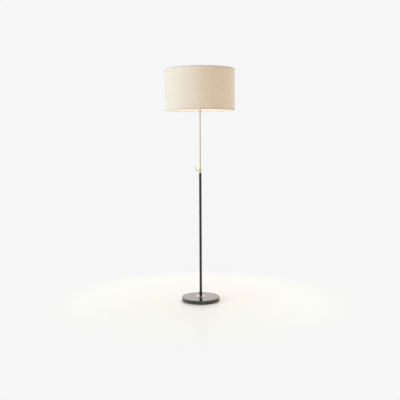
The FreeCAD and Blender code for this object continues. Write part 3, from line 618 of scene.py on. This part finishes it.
# Zinc plate with a clear passivate: greyish blue and satin.
ZINC = Grained(
    "steel_zinc_plated", "zinc_plated_steel", "#B4B8BC", 0.36, metallic=1.0, second_colour="#A2A49F",
    relief=Noise(1.1))
# Phenolic, compression moulded: black with a dull gloss, and a fine grain from its wood filler.
PHENOLIC = Grained(
    "phenolic_compression_moulded_black", "black_moulding", "#171513", 0.34, second_colour="#221E1A",
    relief=Noise(0.6), ior=1.6)
# Nylon, injection moulded: milky white with a waxy gloss.
NYLON = Grained(
    "nylon_injection_moulded_white", "white_nylon", "#ECE9E0", 0.42, second_colour="#E2DED2",
    relief=Noise(0.7), ior=1.53)
# Vulcanised fibre board, rolled: a matt grey-brown with short fibres in it.
FIBRE_BOARD = Grained(
    "vulcanised_fibre_rolled", "insulating_paper", "#7C6B55", 0.8, second_colour="#6A5A46",
    relief=Noise(0.5), relief_mm=0.05)
# Rubber, moulded: black, matt, and faintly grey where it has bloomed.
RUBBER = Grained(
    "rubber_moulded_black", "black_rubber", "#161616", 0.68, second_colour="#232221", relief=Noise(0.8),
    relief_mm=0.04)


# ---- Meshes -------------------------------------------------------------------------------------
# Points of a mesh nearer than the first are one, and edges shorter than the second go.
WELD_MM = 1e-3
SLIVER_MM = 1e-4


@dataclass
class Skin:
    """A mesh in the making, in millimetres: its points, and the faces that join them."""

    points: list[Vector]
    faces: list[tuple[int, ...]]


def lofted(rings: Sequence[Sequence[Vector]], round_rings: bool, round_run: bool) -> Skin:
    """Joins rows of points into a surface.

    Args:
        rings: the rows, each with as many points as the others.
        round_rings: whether each row's last point joins its first.
        round_run: whether the last row joins the first.

    Returns:
        The surface.
    """
    width = len(rings[0])
    points = [p for ring in rings for p in ring]
    faces = []
    for i in range(len(rings) - (0 if round_run else 1)):
        here, there = i * width, (i + 1) % len(rings) * width
        for j in range(width - (0 if round_rings else 1)):
            k = (j + 1) % width
            faces.append((here + j, here + k, there + k, there + j))
    return Skin(points, faces)


def eased(corners: Sequence[tuple[Vector, float]], round_trip: bool = False,
          step: float = 12.0) -> list[Vector]:
    """Rounds a line's corners with arcs.

    Args:
        corners: each corner, with the radius of its arc, or 0 for a sharp one.
        round_trip: whether the line comes back to its first corner.
        step: the most that the line turns from point to point, in degrees.

    Returns:
        The points of the rounded line.
    """
    line = []
    for i, (corner, radius) in enumerate(corners):
        inner = round_trip or 0 < i < len(corners) - 1
        if not radius or not inner:
            line.append(corner.copy())
            continue
        way_in = (corner - corners[i - 1][0]).normalized()
        way_out = (corners[(i + 1) % len(corners)][0] - corner).normalized()
        bend = way_in.angle(way_out)
        inward = (way_out - way_in * math.cos(bend)).normalized()
        start = corner - way_in * radius * math.tan(bend / 2)
        count = max(2, math.ceil(math.degrees(bend) / step))
        for j in range(count + 1):
            turn = bend * j / count
            line.append(start + way_in * radius * math.sin(turn)
                        + inward * radius * (1 - math.cos(turn)))
    return line


def turned(outline_at: Outline, angles: Sequence[float], round_trip: bool = False) -> Skin:
    """Turns an outline about Z.

    Args:
        outline_at: gives the outline at an angle, as points of radius, 0 and height.
        angles: where the outline is set, in radians, once round.
        round_trip: whether the outline comes back to its first point.

    Returns:
        The turned surface.
    """
    rings = []
    for angle in angles:
        turn = Matrix.Rotation(angle, 4, "Z")
        rings.append([turn @ p for p in outline_at(angle)])
    return lofted(rings, round_trip, True)


def even_angles(count: int) -> list[float]:
    """Spaces a number of angles evenly once round, and returns them in radians."""
    return [math.tau * i / count for i in range(count)]


def rod(path: Sequence[Vector], radii: Sequence[tuple[float, float]],
        relief: Callable[[float, float], float], sides: int = 28) -> Skin:
    """Runs a round bar along a path.

    Args:
        path: the bar's centreline.
        radii: the bar's radius at distances along the path, from one end to the other.
        relief: what is added to the radius at a distance and an angle.
        sides: how many points go round the bar.

    Returns:
        The bar's surface, closed where its radius comes to 0.
    """
    reach = [0.0]
    for a, b in zip(path, path[1:]):
        reach.append(reach[-1] + (b - a).length)

    def at(distance: float) -> Vector:
        """Finds a point of the path, which runs on straight past its ends.

        Args:
            distance: how far along the path it is.

        Returns:
            The point.
        """
        i = next((k for k, r in enumerate(reach) if r >= distance), len(path))
        i = max(1, min(len(path) - 1, i))
        share = (distance - reach[i - 1]) / (reach[i] - reach[i - 1])
        return path[i - 1].lerp(path[i], share)

    def radius_at(distance: float) -> float:
        """Finds the bar's radius between two stated ones.

        Args:
            distance: how far along the path it is.

        Returns:
            The radius.
        """
        for (a, ra), (b, rb) in zip(radii, radii[1:]):
            if a <= distance <= b and b > a:
                return ra + (rb - ra) * (distance - a) / (b - a)
        return radii[-1][1]

    # In millimetres: nearer stations are one, and the bar's way is taken this far to each side.
    closest, probe = 1e-4, 0.05
    stated = [d for d, _ in radii]
    stations = list(radii)
    stations += [(d, radius_at(d)) for d in reach if stated[0] < d < stated[-1]
                 and all(abs(d - s) > closest for s in stated)]
    stations.sort(key=lambda s: s[0])
    side = Vector((0.0, 1.0, 0.0))
    rings = []
    for distance, radius in stations:
        along = (at(distance + probe) - at(distance - probe)).normalized()
        side = (side - along * side.dot(along)).normalized()
        up = along.cross(side)
        centre = at(distance)
        ring = []
        for angle in even_angles(sides):
            out = radius + (relief(distance, angle) if radius else 0.0)
            ring.append(centre + (side * math.cos(angle) + up * math.sin(angle)) * out)
        rings.append(ring)
    return lofted(rings, True, False)


def waved(angle: float, waves: Sequence[tuple[int, float, float]]) -> float:
    """Adds up waves, each with its number round a rim, start and height, at an angle."""
    return sum(height * math.sin(count * angle + start) for count, start, height in waves)


def smooth(share: float) -> float:
    """Eases a share from 0 to 1 in and out, and returns it clamped."""
    share = max(0.0, min(1.0, share))
    return share * share * (3 - 2 * share)


def make_piece(name: str, skin: Skin, body: Body, finish: Finish, stands_for: Sequence[str] = (),
               crease: float = 38.0) -> Object:
    """Makes a piece of the lamp from a skin, and sets it on its body.

    Args:
        name: the piece's name.
        skin: its mesh, in millimetres.
        body: the body that it rides on.
        finish: its finish.
        stands_for: the nodes of the model that it replaces.
        crease: the angle, in degrees, from which an edge looks sharp.

    Returns:
        The piece.
    """
    mesh = bpy.data.meshes.new(name)
    mesh.from_pydata([p * MM for p in skin.points], [], skin.faces)
    work = bmesh.new()
    work.from_mesh(mesh)
    bmesh.ops.remove_doubles(work, verts=work.verts, dist=WELD_MM * MM)
    bmesh.ops.dissolve_degenerate(work, edges=work.edges, dist=SLIVER_MM * MM)
    bmesh.ops.recalc_face_normals(work, faces=work.faces)
    work.to_mesh(mesh)
    work.free()
    mesh.shade_smooth()
    mesh.set_sharp_from_angle(angle=math.radians(crease))
    mesh.materials.append(finish.material())
    made = bpy.data.objects.new(name, mesh)
    bpy.context.collection.objects.link(made)
    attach(made, body.value)
    if stands_for:
        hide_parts(*stands_for)
    log.info("%s: %d faces on %s", name, len(mesh.polygons), body.value)
    return made


def dress(finish: Finish, *nodes: str) -> None:
    """Gives nodes of the model their finish.

    Args:
        finish: the finish.
        nodes: the nodes' names.
    """
    for name in nodes:
        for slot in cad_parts[name].material_slots:
            slot.material = finish.material()
    log.info("%s on %s", finish.name, ", ".join(nodes))


# ---- Sub-assemblies -----------------------------------------------------------------------------
@dataclass
class Base:
    """The stone slab with its felt, its brass rosette and what ties them to the column."""

    pad_radius: float = 119.0
    pad_thickness: float = 2.0
    pad_edge_round: float = 0.7
    pad_edge_wander: float = 0.25
    pad_columns: int = 240

    def build(self) -> None:
        """Builds the felt and dresses the rest."""
        self.felt_pad()
        dress(MARBLE, "stone_base")
        dress(BRASS, "base_rosette")
        dress(ZINC, "backing_plate", "base_washer", "base_nut", "foot_nipple")
        dress(RUBBER, "cord_bush")

    def felt_pad(self) -> None:
        """Builds the felt disc, with the slightly uneven rim of a cut by hand."""
        # How many waves go round the rim, where each starts, and its share of the wander.
        waves = ((7, 0.0, 0.5), (23, 1.0, 0.3), (61, 0.0, 0.2))

        def outline(angle: float) -> list[Vector]:
            """Sets the felt's outline.

            Args:
                angle: the angle round the pad, in radians.

            Returns:
                The outline, from its middle on top to its middle underneath.
            """
            reach = self.pad_radius + self.pad_edge_wander * waved(angle, waves)
            return eased([
                (Vector((0, 0, self.pad_thickness)), 0),
                (Vector((reach, 0, self.pad_thickness)), self.pad_edge_round),
                (Vector((reach, 0, 0)), self.pad_edge_round),
                (Vector((0, 0, 0)), 0),
            ], step=30)

        skin = turned(outline, even_angles(self.pad_columns))
        pad = make_piece("felt_disc", skin, Body.STAND, FELT, ["felt_pad"])


@dataclass
class Column:
    """The black tube in its ferrule, with the brass collar on top."""

    def build(self) -> None:
        """Dresses the column's nodes."""
        dress(BLACK_COAT, "foot_ferrule", "lower_tube")
        dress(ZINC, "ferrule_grub_screw")
        dress(BRASS, "clamp_collar")
        dress(NYLON, "guide_bush")


@dataclass
class Clamp:
    """The bent lever that screws into the collar's boss and presses the pad on the mast."""

    screw_face: float = 8.3
    tip_length: float = 1.7
    tip_radius: float = 1.4
    tip_chamfer: float = 0.2
    thread_radius: float = 2.45
    thread_chamfer: float = 0.4
    thread_pitch: float = 0.8
    thread_depth: float = 0.42
    rows_per_turn: int = 12
    shoulder_start: float = 14.2
    shoulder_end: float = 16.4
    shoulder_radius: float = 3.6
    rod_radius: float = 2.4
    bend: tuple[float, float] = (21.0, 16.0)
    elbow: tuple[float, float, float] = (28.2, 1.6, 4.5)
    end: tuple[float, float] = (30.9, 23.6)
    ball_radius: float = 3.3
    ball_rows: int = 12
    # The edges of the shoulder and the foot of the rod: each point's distance and change of radius.
    shoulder_front: tuple[tuple[float, float], ...] = ((0.0, -0.5), (0.15, -0.15), (0.5, 0.0))
    shoulder_back: tuple[tuple[float, float], ...] = ((-0.8, 0.0), (-0.35, -0.2), (0.0, -0.8))
    rod_foot: tuple[tuple[float, float], ...] = ((0.2, 0.2), (0.6, 0.0))

    def build(self) -> None:
        """Builds the lever and dresses the pad."""
        dress(BRASS, "clamp_pad")
        self.lever()

    def lever(self) -> None:
        """Builds the lever: a threaded shank, a shoulder, a bent rod and a ball."""
        low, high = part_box("clamp_pad")
        axis = (low[2] + high[2]) / 2 / MM
        elbow_x, elbow_rise, elbow_round = self.elbow
        start = self.screw_face - self.tip_length
        path = eased([
            (Vector((-start, 0, axis)), 0),
            (Vector((-self.bend[0], 0, axis)), self.bend[1]),
            (Vector((-elbow_x, 0, axis + elbow_rise)), elbow_round),
            (Vector((-self.end[0], 0, axis + self.end[1])), 0),
        ], step=5)
        length = sum((b - a).length for a, b in zip(path, path[1:]))
        thread_end = self.shoulder_start - start
        shoulder_end = self.shoulder_end - start
        radii = [(0, 0), (0, self.tip_radius - self.tip_chamfer), (self.tip_chamfer, self.tip_radius),
                 (self.tip_length, self.tip_radius),
                 (self.tip_length, self.thread_radius - self.thread_chamfer)]
        first = self.tip_length + self.thread_chamfer
        rows = self.rows_per_turn * round((thread_end - self.tip_length) / self.thread_pitch)
        radii += [(first + (thread_end - first) * i / rows, self.thread_radius) for i in range(rows + 1)]
        for place, radius, edge in ((thread_end, self.shoulder_radius, self.shoulder_front),
                                    (shoulder_end, self.shoulder_radius, self.shoulder_back),
                                    (shoulder_end, self.rod_radius, self.rod_foot)):
            radii += [(place + along, radius + change) for along, change in edge]
        neck = math.acos(self.rod_radius / self.ball_radius)
        for i in range(self.ball_rows + 1):
            rise = -neck + (math.pi / 2 + neck) * i / self.ball_rows
            out = self.ball_radius * max(0.0, math.cos(rise))
            radii.append((length + self.ball_radius * math.sin(rise), out))
        radii[-1] = (length + self.ball_radius, 0)

        def thread(distance: float, angle: float) -> float:
            """Cuts the single thread into the shank.

            Args:
                distance: how far along the lever it is.
                angle: the angle round the lever, in radians.

            Returns:
                What is added to the radius, in millimetres.
            """
            if not first <= distance < thread_end:
                return 0.0
            turn = (distance / self.thread_pitch + angle / math.tau) % 1.0
            return -self.thread_depth * abs(2 * turn - 1)

        make_piece("lever_rod", rod(path, radii, thread), Body.CLAMP_LEVER, BRASS, ["clamp_lever"])


@dataclass
class Mast:
    """The brass tube that slides in the column, its plug and bush, and the coupling on its top."""

    def build(self) -> None:
        """Dresses the mast's nodes."""
        dress(BRASS, "mast_tube", "mast_coupling")
        dress(ZINC, "mast_plug", "stop_ring", "holder_nipple")
        dress(NYLON, "glide_bush")


@dataclass
class Harp:
    """The wire harp that carries the shade round the bulb."""

    def build(self) -> None:
        """Dresses the harp's nodes."""
        dress(BRASS, "harp_saddle", "harp_wire", "harp_sleeves", "harp_stud")


@dataclass
class Lampholder:
    """The brass lampholder with its turn switch."""

    def build(self) -> None:
        """Dresses the lampholder's nodes."""
        dress(BRASS, "holder_cap", "holder_shell")
        dress(FIBRE_BOARD, "holder_paper")
        dress(PHENOLIC, "holder_body", "switch_knob")
        dress(NICKEL, "terminal_screws", "screw_shell", "centre_contact", "switch_shaft")


@dataclass
class Bulb:
    """The opal globe bulb with its screw cap."""

    cap_foot: float = 1304.4
    cap_top: float = 1326.4
    cap_radius: float = 13.2
    cap_wall: float = 0.5
    thread_pitch: float = 3.62
    thread_depth: float = 0.9
    thread_margin: float = 2.0
    rows: int = 72
    columns: int = 96

    def build(self) -> None:
        """Builds the screw cap and dresses the rest."""
        self.screw_cap()
        dress(OPAL, "bulb_glass")
        dress(NICKEL, "bulb_contact")
        dress(PHENOLIC, "bulb_insulator")

    def screw_cap(self) -> None:
        """Builds the cap, with its rolled thread and plain rim."""
        high = self.cap_top - self.cap_foot
        heights = [self.cap_foot + high * i / self.rows for i in range(self.rows + 1)]

        def outline(angle: float) -> list[Vector]:
            """Sets the cap's outline.

            Args:
                angle: the angle round the cap, in radians.

            Returns:
                The outline, up its outside and down its inside.
            """
            outside = []
            for height in heights:
                fade = smooth((height - self.cap_foot) / self.thread_margin) * smooth(
                    (self.cap_top - height) / self.thread_margin)
                turn = height / self.thread_pitch - angle / math.tau
                dip = self.thread_depth * (0.5 + 0.5 * math.cos(math.tau * turn)) * fade
                outside.append(Vector((self.cap_radius - dip, 0, height)))
            inside = [p - Vector((self.cap_wall, 0, 0)) for p in reversed(outside)]
            floor = self.cap_foot
            return [Vector((0, 0, floor)), *outside, *inside[:-1], Vector((0, 0, floor + self.cap_wall))]

        skin = turned(outline, even_angles(self.columns))
        make_piece("bulb_screw_cap", skin, Body.MAST, NICKEL, ["bulb_cap"])


@dataclass
class DrumShade:
    """The linen drum with its lining, its wire rings and spider, and the strips on its edges."""

    foot: float = 1245.0
    top: float = 1510.0
    radius: float = 225.0
    cloth_thickness: float = 0.6
    strip_thickness: float = 0.7
    lap: float = 12.0
    lap_rise: float = 3.0
    columns: int = 360
    rows: int = 8
    outer_leg: float = 8.0
    inner_leg: float = 6.0
    top_bore: float = 219.3
    foot_bore: float = 220.3
    strip_round: float = 1.5
    cut_round: float = 0.3
    inner_round: float = 0.2
    strip_columns: int = 300
    # The strip's own lap: how far it stands out, half its width, and the width of its slope.
    strip_lap: float = 0.45
    strip_lap_half: float = 6.0
    strip_lap_slope: float = 1.5
    # Where the outer leg is longer, the inner leg is shorter by this share of it.
    inner_sway: float = 0.6
    first_arm: float = 90.0
    arms: int = 3
    arm_radius: float = 2.0
    # The slit for an arm: its room beside the arm, what stays under it, its slope as a share of its
    # half width, and the degrees between its outlines, which go this many to each side.
    slit_room: float = 0.35
    slit_floor: float = 0.35
    slit_slope: float = 0.6
    slit_step: float = 0.12
    slit_columns: int = 16

    def build(self) -> None:
        """Builds the cloth and its strips, and dresses the wires and the lining."""
        self.linen_drum()
        self.edge_strip("top_edge_strip", "shade_top_trim", self.top, -1, self.top_bore, slit=True)
        self.edge_strip("foot_edge_strip", "shade_foot_trim", self.foot, 1, self.foot_bore, slit=False)
        dress(LINING, "shade_lining")
        dress(WHITE_EPOXY, "shade_top_ring", "shade_foot_ring", "shade_spider")
        dress(BRASS, "finial")

    def linen_drum(self) -> None:
        """Builds the cloth: one strip round the drum, its end lapped over its start at the back."""
        low = self.foot + self.strip_thickness
        high = self.top - self.strip_thickness
        inner = self.radius - self.cloth_thickness
        girth = math.tau * self.radius
        rings = []
        for i in range(self.columns + 1):
            run = (girth + self.lap) * i / self.columns
            lift = self.cloth_thickness * smooth((run - girth + self.lap_rise) / self.lap_rise)
            angle = math.pi / 2 - self.lap / 2 / self.radius + run / self.radius
            out = Vector((math.cos(angle), math.sin(angle), 0))
            heights = [low + (high - low) * j / self.rows for j in range(self.rows + 1)]
            near = [out * (inner + lift) + Vector((0, 0, h)) for h in heights]
            far = [out * (self.radius + lift) + Vector((0, 0, h)) for h in reversed(heights)]
            rings.append(near + far)
        skin = lofted(rings, True, False)
        width = len(rings[0])
        last = len(skin.points) - width
        skin.faces += [tuple(range(width)), tuple(range(last, last + width))]
        cloth = make_piece("linen_cover", skin, Body.MAST, LINEN, ["shade_linen"])

    def strip_angles(self) -> list[float]:
        """Spaces the strip's outlines round the drum, closer where the spider's arms pass.

        Returns:
            The angles, in radians.
        """
        angles = set(even_angles(self.strip_columns))
        near = range(-self.slit_columns, self.slit_columns + 1)
        for i in range(self.arms):
            arm = math.radians(self.first_arm + i * 360 / self.arms)
            angles.update((arm + math.radians(j * self.slit_step)) % math.tau for j in near)
        return sorted(angles)

    def opening(self, angle: float) -> float:
        """Tells how far the inner leg is cut back for an arm.

        Args:
            angle: the angle round the drum, in radians.

        Returns:
            The share of its height that is cut away, from 0 to 1.
        """
        spacing = math.tau / self.arms
        off = (angle - math.radians(self.first_arm) + spacing / 2) % spacing - spacing / 2
        clear = (self.arm_radius + self.slit_room) / self.top_bore
        return 1.0 - smooth((abs(off) - clear) / (self.slit_slope * clear))

    def edge_strip(self, name: str, node: str, edge: float, inward: int, bore: float,
                   slit: bool) -> None:
        """Builds the folded strip of linen over one edge of the drum.

        Args:
            name: the piece's name.
            node: the node that it replaces.
            edge: the height of the drum's edge.
            inward: 1 where the strip's legs go up from the edge, -1 where they go down.
            bore: the radius that the strip's inner leg lies against.
            slit: whether the spider's arms pass the inner leg.
        """
        thick = self.strip_thickness
        outside, inside = self.radius + thick, bore - thick

        # How many waves go round the cut edges, where each starts, and its height in millimetres.
        waves = ((11, edge, 0.22), (37, 0.0, 0.13), (83, 2.0, 0.08))

        def outline(angle: float) -> list[Vector]:
            """Sets the strip's outline, thicker where its glued ends lap at the back.

            Args:
                angle: the angle round the drum, in radians.

            Returns:
                The outline, once round the fold.
            """
            sway = waved(angle, waves)
            back = (angle - math.pi / 2 + math.pi) % math.tau - math.pi
            off = (abs(back) * self.radius - self.strip_lap_half) / self.strip_lap_slope
            lapped = self.strip_lap * (1 - smooth(off))
            outer_end = self.outer_leg + sway
            inner_end = self.inner_leg - self.inner_sway * sway
            if slit:
                inner_end -= (inner_end - thick - self.slit_floor) * self.opening(angle)
            corners = [
                (outside + lapped, outer_end, self.cut_round), (outside + lapped, 0, self.strip_round),
                (inside, 0, self.strip_round), (inside, inner_end, self.cut_round),
                (bore, inner_end, self.cut_round), (bore, thick, self.inner_round),
                (self.radius, thick, self.inner_round), (self.radius, outer_end, self.cut_round)]
            placed = [(Vector((r, 0, edge + inward * h)), bend) for r, h, bend in corners]
            return eased(placed, round_trip=True, step=24)

        skin = turned(outline, self.strip_angles(), True)
        strip = make_piece(name, skin, Body.MAST, LINEN_TRIM, [node])


@dataclass(frozen=True)
class Sun:
    """A broad, distant lamp: its strength, colour, width in degrees and where it comes from."""

    name: str
    strength: float
    colour: str
    angle: float
    come_from: tuple[float, float, float]


@dataclass(frozen=True)
class Card:
    """A white card for glossy surfaces to mirror: its radiance, where 1 is white, size and middle."""

    name: str
    radiance: float
    size: tuple[float, float]
    place: tuple[float, float, float]


@dataclass
class Studio:
    """The white studio: its floor, backdrop, lamps and camera, in metres, and the bulb's in mm."""

    white: float = 0.9216
    ambient: float = 0.4
    ambient_colour: str = "#FFFFFD"
    # The floor round the lamp is painted with a pool of warm lamplight, which fades out between the first
    # two radii into the pale paper.
    lamp_pool_colour: str = "#FFFAF1"
    pale: str = "#FFFEF7"
    lamp_pool_radius: float = 0.3
    pale_radius: float = 0.7
    white_radius: float = 1.05
    floor_half_width: float = 30.0
    floor_roughness: float = 0.3
    floor_ior: float = 1.22
    aim_height: float = 0.8
    sun_distance: float = 3.0
    suns: tuple[Sun, ...] = (
        Sun("key_window", 3.35, "#B2D7FF", 42.0, (-0.94, -0.3, 0.12)),
        Sun("top_softbox", 1.6, "#FFF5E8", 60.0, (0.15, 0.7, 1.0)),
        Sun("rim_softbox", 0.7, "#9CC8FF", 40.0, (0.96, 0.25, 0.1)))
    cards: tuple[Card, ...] = (
        Card("back_card", 0.3, (6.0, 2.6), (0.0, 3.2, 1.35)),
        Card("left_card", 0.9, (3.0, 1.6), (-2.8, 0.5, 0.85)))
    bulb_light: float = 1.85
    bulb_colour: str = "#FFEEEA"
    bulb_height: float = 1370.0
    bulb_radius: float = 36.0
    # The rise of the bulb's light, from -1 straight down to 1 straight up: full below the first of
    # these, and none above the second.
    bulb_full_below: float = -0.5
    bulb_none_above: float = -0.1
    focal: float = 58.86
    sensor: float = 36.0
    far_clip: float = 100.0
    camera_place: tuple[float, float, float] = (-0.0025, -4.253, 1.069)
    camera_tilt: float = 5.41
    camera_roll: float = 0.276

    def build(self) -> None:
        """Sets up the studio."""
        bpy.context.scene.view_settings.view_transform = "Standard"
        self.backdrop()
        self.floor()
        self.lamps()
        self.camera()

    def plain_white(self) -> tuple[float, float, float, float]:
        """Gives the studio's white as a linear colour."""
        return self.white, self.white, self.white, 1.0

    def seen(self, tree: NodeTree) -> Node:
        """Tells the rays that show the studio, straight or through gloss and glass, from its light.

        Args:
            tree: a node tree of the studio's own.

        Returns:
            The node that gives 1 for such rays.
        """
        rays = add_node(tree, "LightPath").outputs
        either = add_node(tree, "Math", {
            0: rays["Is Camera Ray"], 1: rays["Is Glossy Ray"]}, operation="MAXIMUM")
        return add_node(tree, "Math", {0: either, 1: rays["Is Transmission Ray"]}, operation="MAXIMUM")

    def backdrop(self) -> None:
        """Makes the world white to look at, and a soft light all round."""
        world = bpy.data.worlds.new("studio_white")
        world.use_nodes = True
        bpy.context.scene.world = world
        tree = world.node_tree
        tree.nodes.clear()
        light = add_node(tree, "Background", {
            "Color": linear(self.ambient_colour), "Strength": self.ambient})
        shown = add_node(tree, "Background", {"Color": self.plain_white(), "Strength": 1.0})
        both = add_node(tree, "MixShader", {0: self.seen(tree), 1: light, 2: shown})
        add_node(tree, "OutputWorld", {"Surface": both})

    def floor(self) -> None:
        """Lays the floor: a painted pool of warm lamplight round the lamp, white as the backdrop further
        out, and clear from below.
        """
        half = self.floor_half_width
        corners = [(-half, -half, 0), (half, -half, 0), (half, half, 0), (-half, half, 0)]
        mesh = bpy.data.meshes.new("studio_floor")
        mesh.from_pydata(corners, [], [(0, 1, 2, 3)])
        floor = bpy.data.objects.new("studio_floor", mesh)
        bpy.context.collection.objects.link(floor)
        made = bpy.data.materials.new("studio_floor_paper")
        made.use_nodes = True
        tree = made.node_tree
        tree.nodes.clear()
        place = add_node(tree, "TexCoord").outputs["Object"]
        away = add_node(tree, "VectorMath", {0: place}, operation="LENGTH")
        # The painted pool of warm lamplight fades out here into the pale paper.
        tint = add_node(tree, "MapRange", {
            "Value": away, "From Min": self.lamp_pool_radius, "From Max": self.pale_radius},
            interpolation_type="SMOOTHSTEP")
        paper = add_node(tree, "Mix", {
            "Factor": tint, "A": linear(self.lamp_pool_colour), "B": linear(self.pale)}, data_type="RGBA")
        matt = add_node(tree, "BsdfPrincipled", {
            "Base Color": paper, "Roughness": self.floor_roughness, "IOR": self.floor_ior})
        even = add_node(tree, "Emission", {"Color": self.plain_white(), "Strength": 1.0})
        far = add_node(tree, "MapRange", {
            "Value": away, "From Min": self.pale_radius, "From Max": self.white_radius},
            interpolation_type="SMOOTHSTEP")
        share = add_node(tree, "Math", {0: far, 1: self.seen(tree)}, operation="MULTIPLY")
        both = add_node(tree, "MixShader", {0: share, 1: matt, 2: even})
        under = add_node(tree, "NewGeometry").outputs["Backfacing"]
        both = add_node(tree, "MixShader", {0: under, 1: both, 2: add_node(tree, "BsdfTransparent")})
        add_node(tree, "OutputMaterial", {"Surface": both})
        mesh.materials.append(made)

    def lamp(self, name: str, kind: str, energy: float, place: Vector, aim: Vector) -> Object:
        """Hangs a lamp that the camera doesn't see.

        Args:
            name: the lamp's name.
            kind: Blender's kind of light.
            energy: its power, in watts, or in watts a square metre for a sun.
            place: where it hangs, in metres.
            aim: what it points at.

        Returns:
            The lamp.
        """
        light: Light = bpy.data.lights.new(name, kind)
        light.energy = energy
        made = bpy.data.objects.new(name, light)
        bpy.context.collection.objects.link(made)
        made.location = place
        made.rotation_euler = (aim - place).to_track_quat("-Z", "Y").to_euler()
        made.visible_camera = False
        return made

    def lamps(self) -> None:
        """Hangs the suns and the bulb's light, which only matt surfaces show, and stands the cards."""
        middle = Vector((0, 0, self.aim_height))
        for sun in self.suns:
            place = middle + Vector(sun.come_from) * self.sun_distance
            made = self.lamp(sun.name, "SUN", sun.strength, place, middle)
            made.data.angle = math.radians(sun.angle)
            made.data.color = linear(sun.colour)[:3]
            made.visible_glossy = False
        for card in self.cards:
            watts = card.radiance * math.pi * card.size[0] * card.size[1]
            place = Vector(card.place)
            made = self.lamp(card.name, "AREA", watts, place, Vector((0, 0, place.z)))
            made.data.shape = "RECTANGLE"
            made.data.size, made.data.size_y = card.size
            made.visible_diffuse = False
        bulb_place = Vector((0, 0, self.bulb_height * MM))
        bulb = self.lamp("bulb_light", "POINT", self.bulb_light, bulb_place, middle)
        bulb.data.shadow_soft_size = self.bulb_radius * MM
        bulb.data.use_soft_falloff = False
        bulb.data.color = linear(self.bulb_colour)[:3]
        bulb.visible_glossy = False
        bulb.data.use_nodes = True
        self.spread(bulb.data.node_tree)
        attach(bulb, Body.MAST.value)

    def spread(self, tree: NodeTree) -> None:
        """Sends the bulb's light down, so that the upper lining isn't washed out.

        Args:
            tree: the light's node tree.
        """
        way = add_node(tree, "TexCoord").outputs["Normal"]
        rise = add_node(tree, "SeparateXYZ", {0: way}).outputs["Z"]
        down = add_node(tree, "MapRange", {
            "Value": rise, "From Min": self.bulb_full_below, "From Max": self.bulb_none_above,
            "To Min": 1.0, "To Max": 0.0}, interpolation_type="SMOOTHSTEP")
        feed(tree.nodes["Emission"], {"Strength": down})

    def camera(self) -> None:
        """Stands the camera where the picture was taken from."""
        camera = bpy.data.cameras.new("studio_camera")
        camera.lens = self.focal
        camera.sensor_width = self.sensor
        camera.sensor_fit = "HORIZONTAL"
        camera.clip_end = self.far_clip
        stand = bpy.data.objects.new("studio_camera", camera)
        bpy.context.collection.objects.link(stand)
        tilt = Matrix.Rotation(math.radians(90 - self.camera_tilt), 4, "X")
        roll = Matrix.Rotation(math.radians(-self.camera_roll), 4, "Z")
        stand.matrix_world = Matrix.Translation(self.camera_place) @ tilt @ roll
        bpy.context.scene.camera = stand


def main() -> None:
    """Builds the lamp and its studio."""
    logging.basicConfig(level=logging.INFO, format="%(name)s %(message)s")
    Studio().build()
    for part in (Base(), Column(), Clamp(), Mast(), Harp(), Lampholder(), Bulb(), DrumShade()):
        part.build()
        log.info("%s is done", type(part).__name__)


if __name__ == "__main__":
    main()
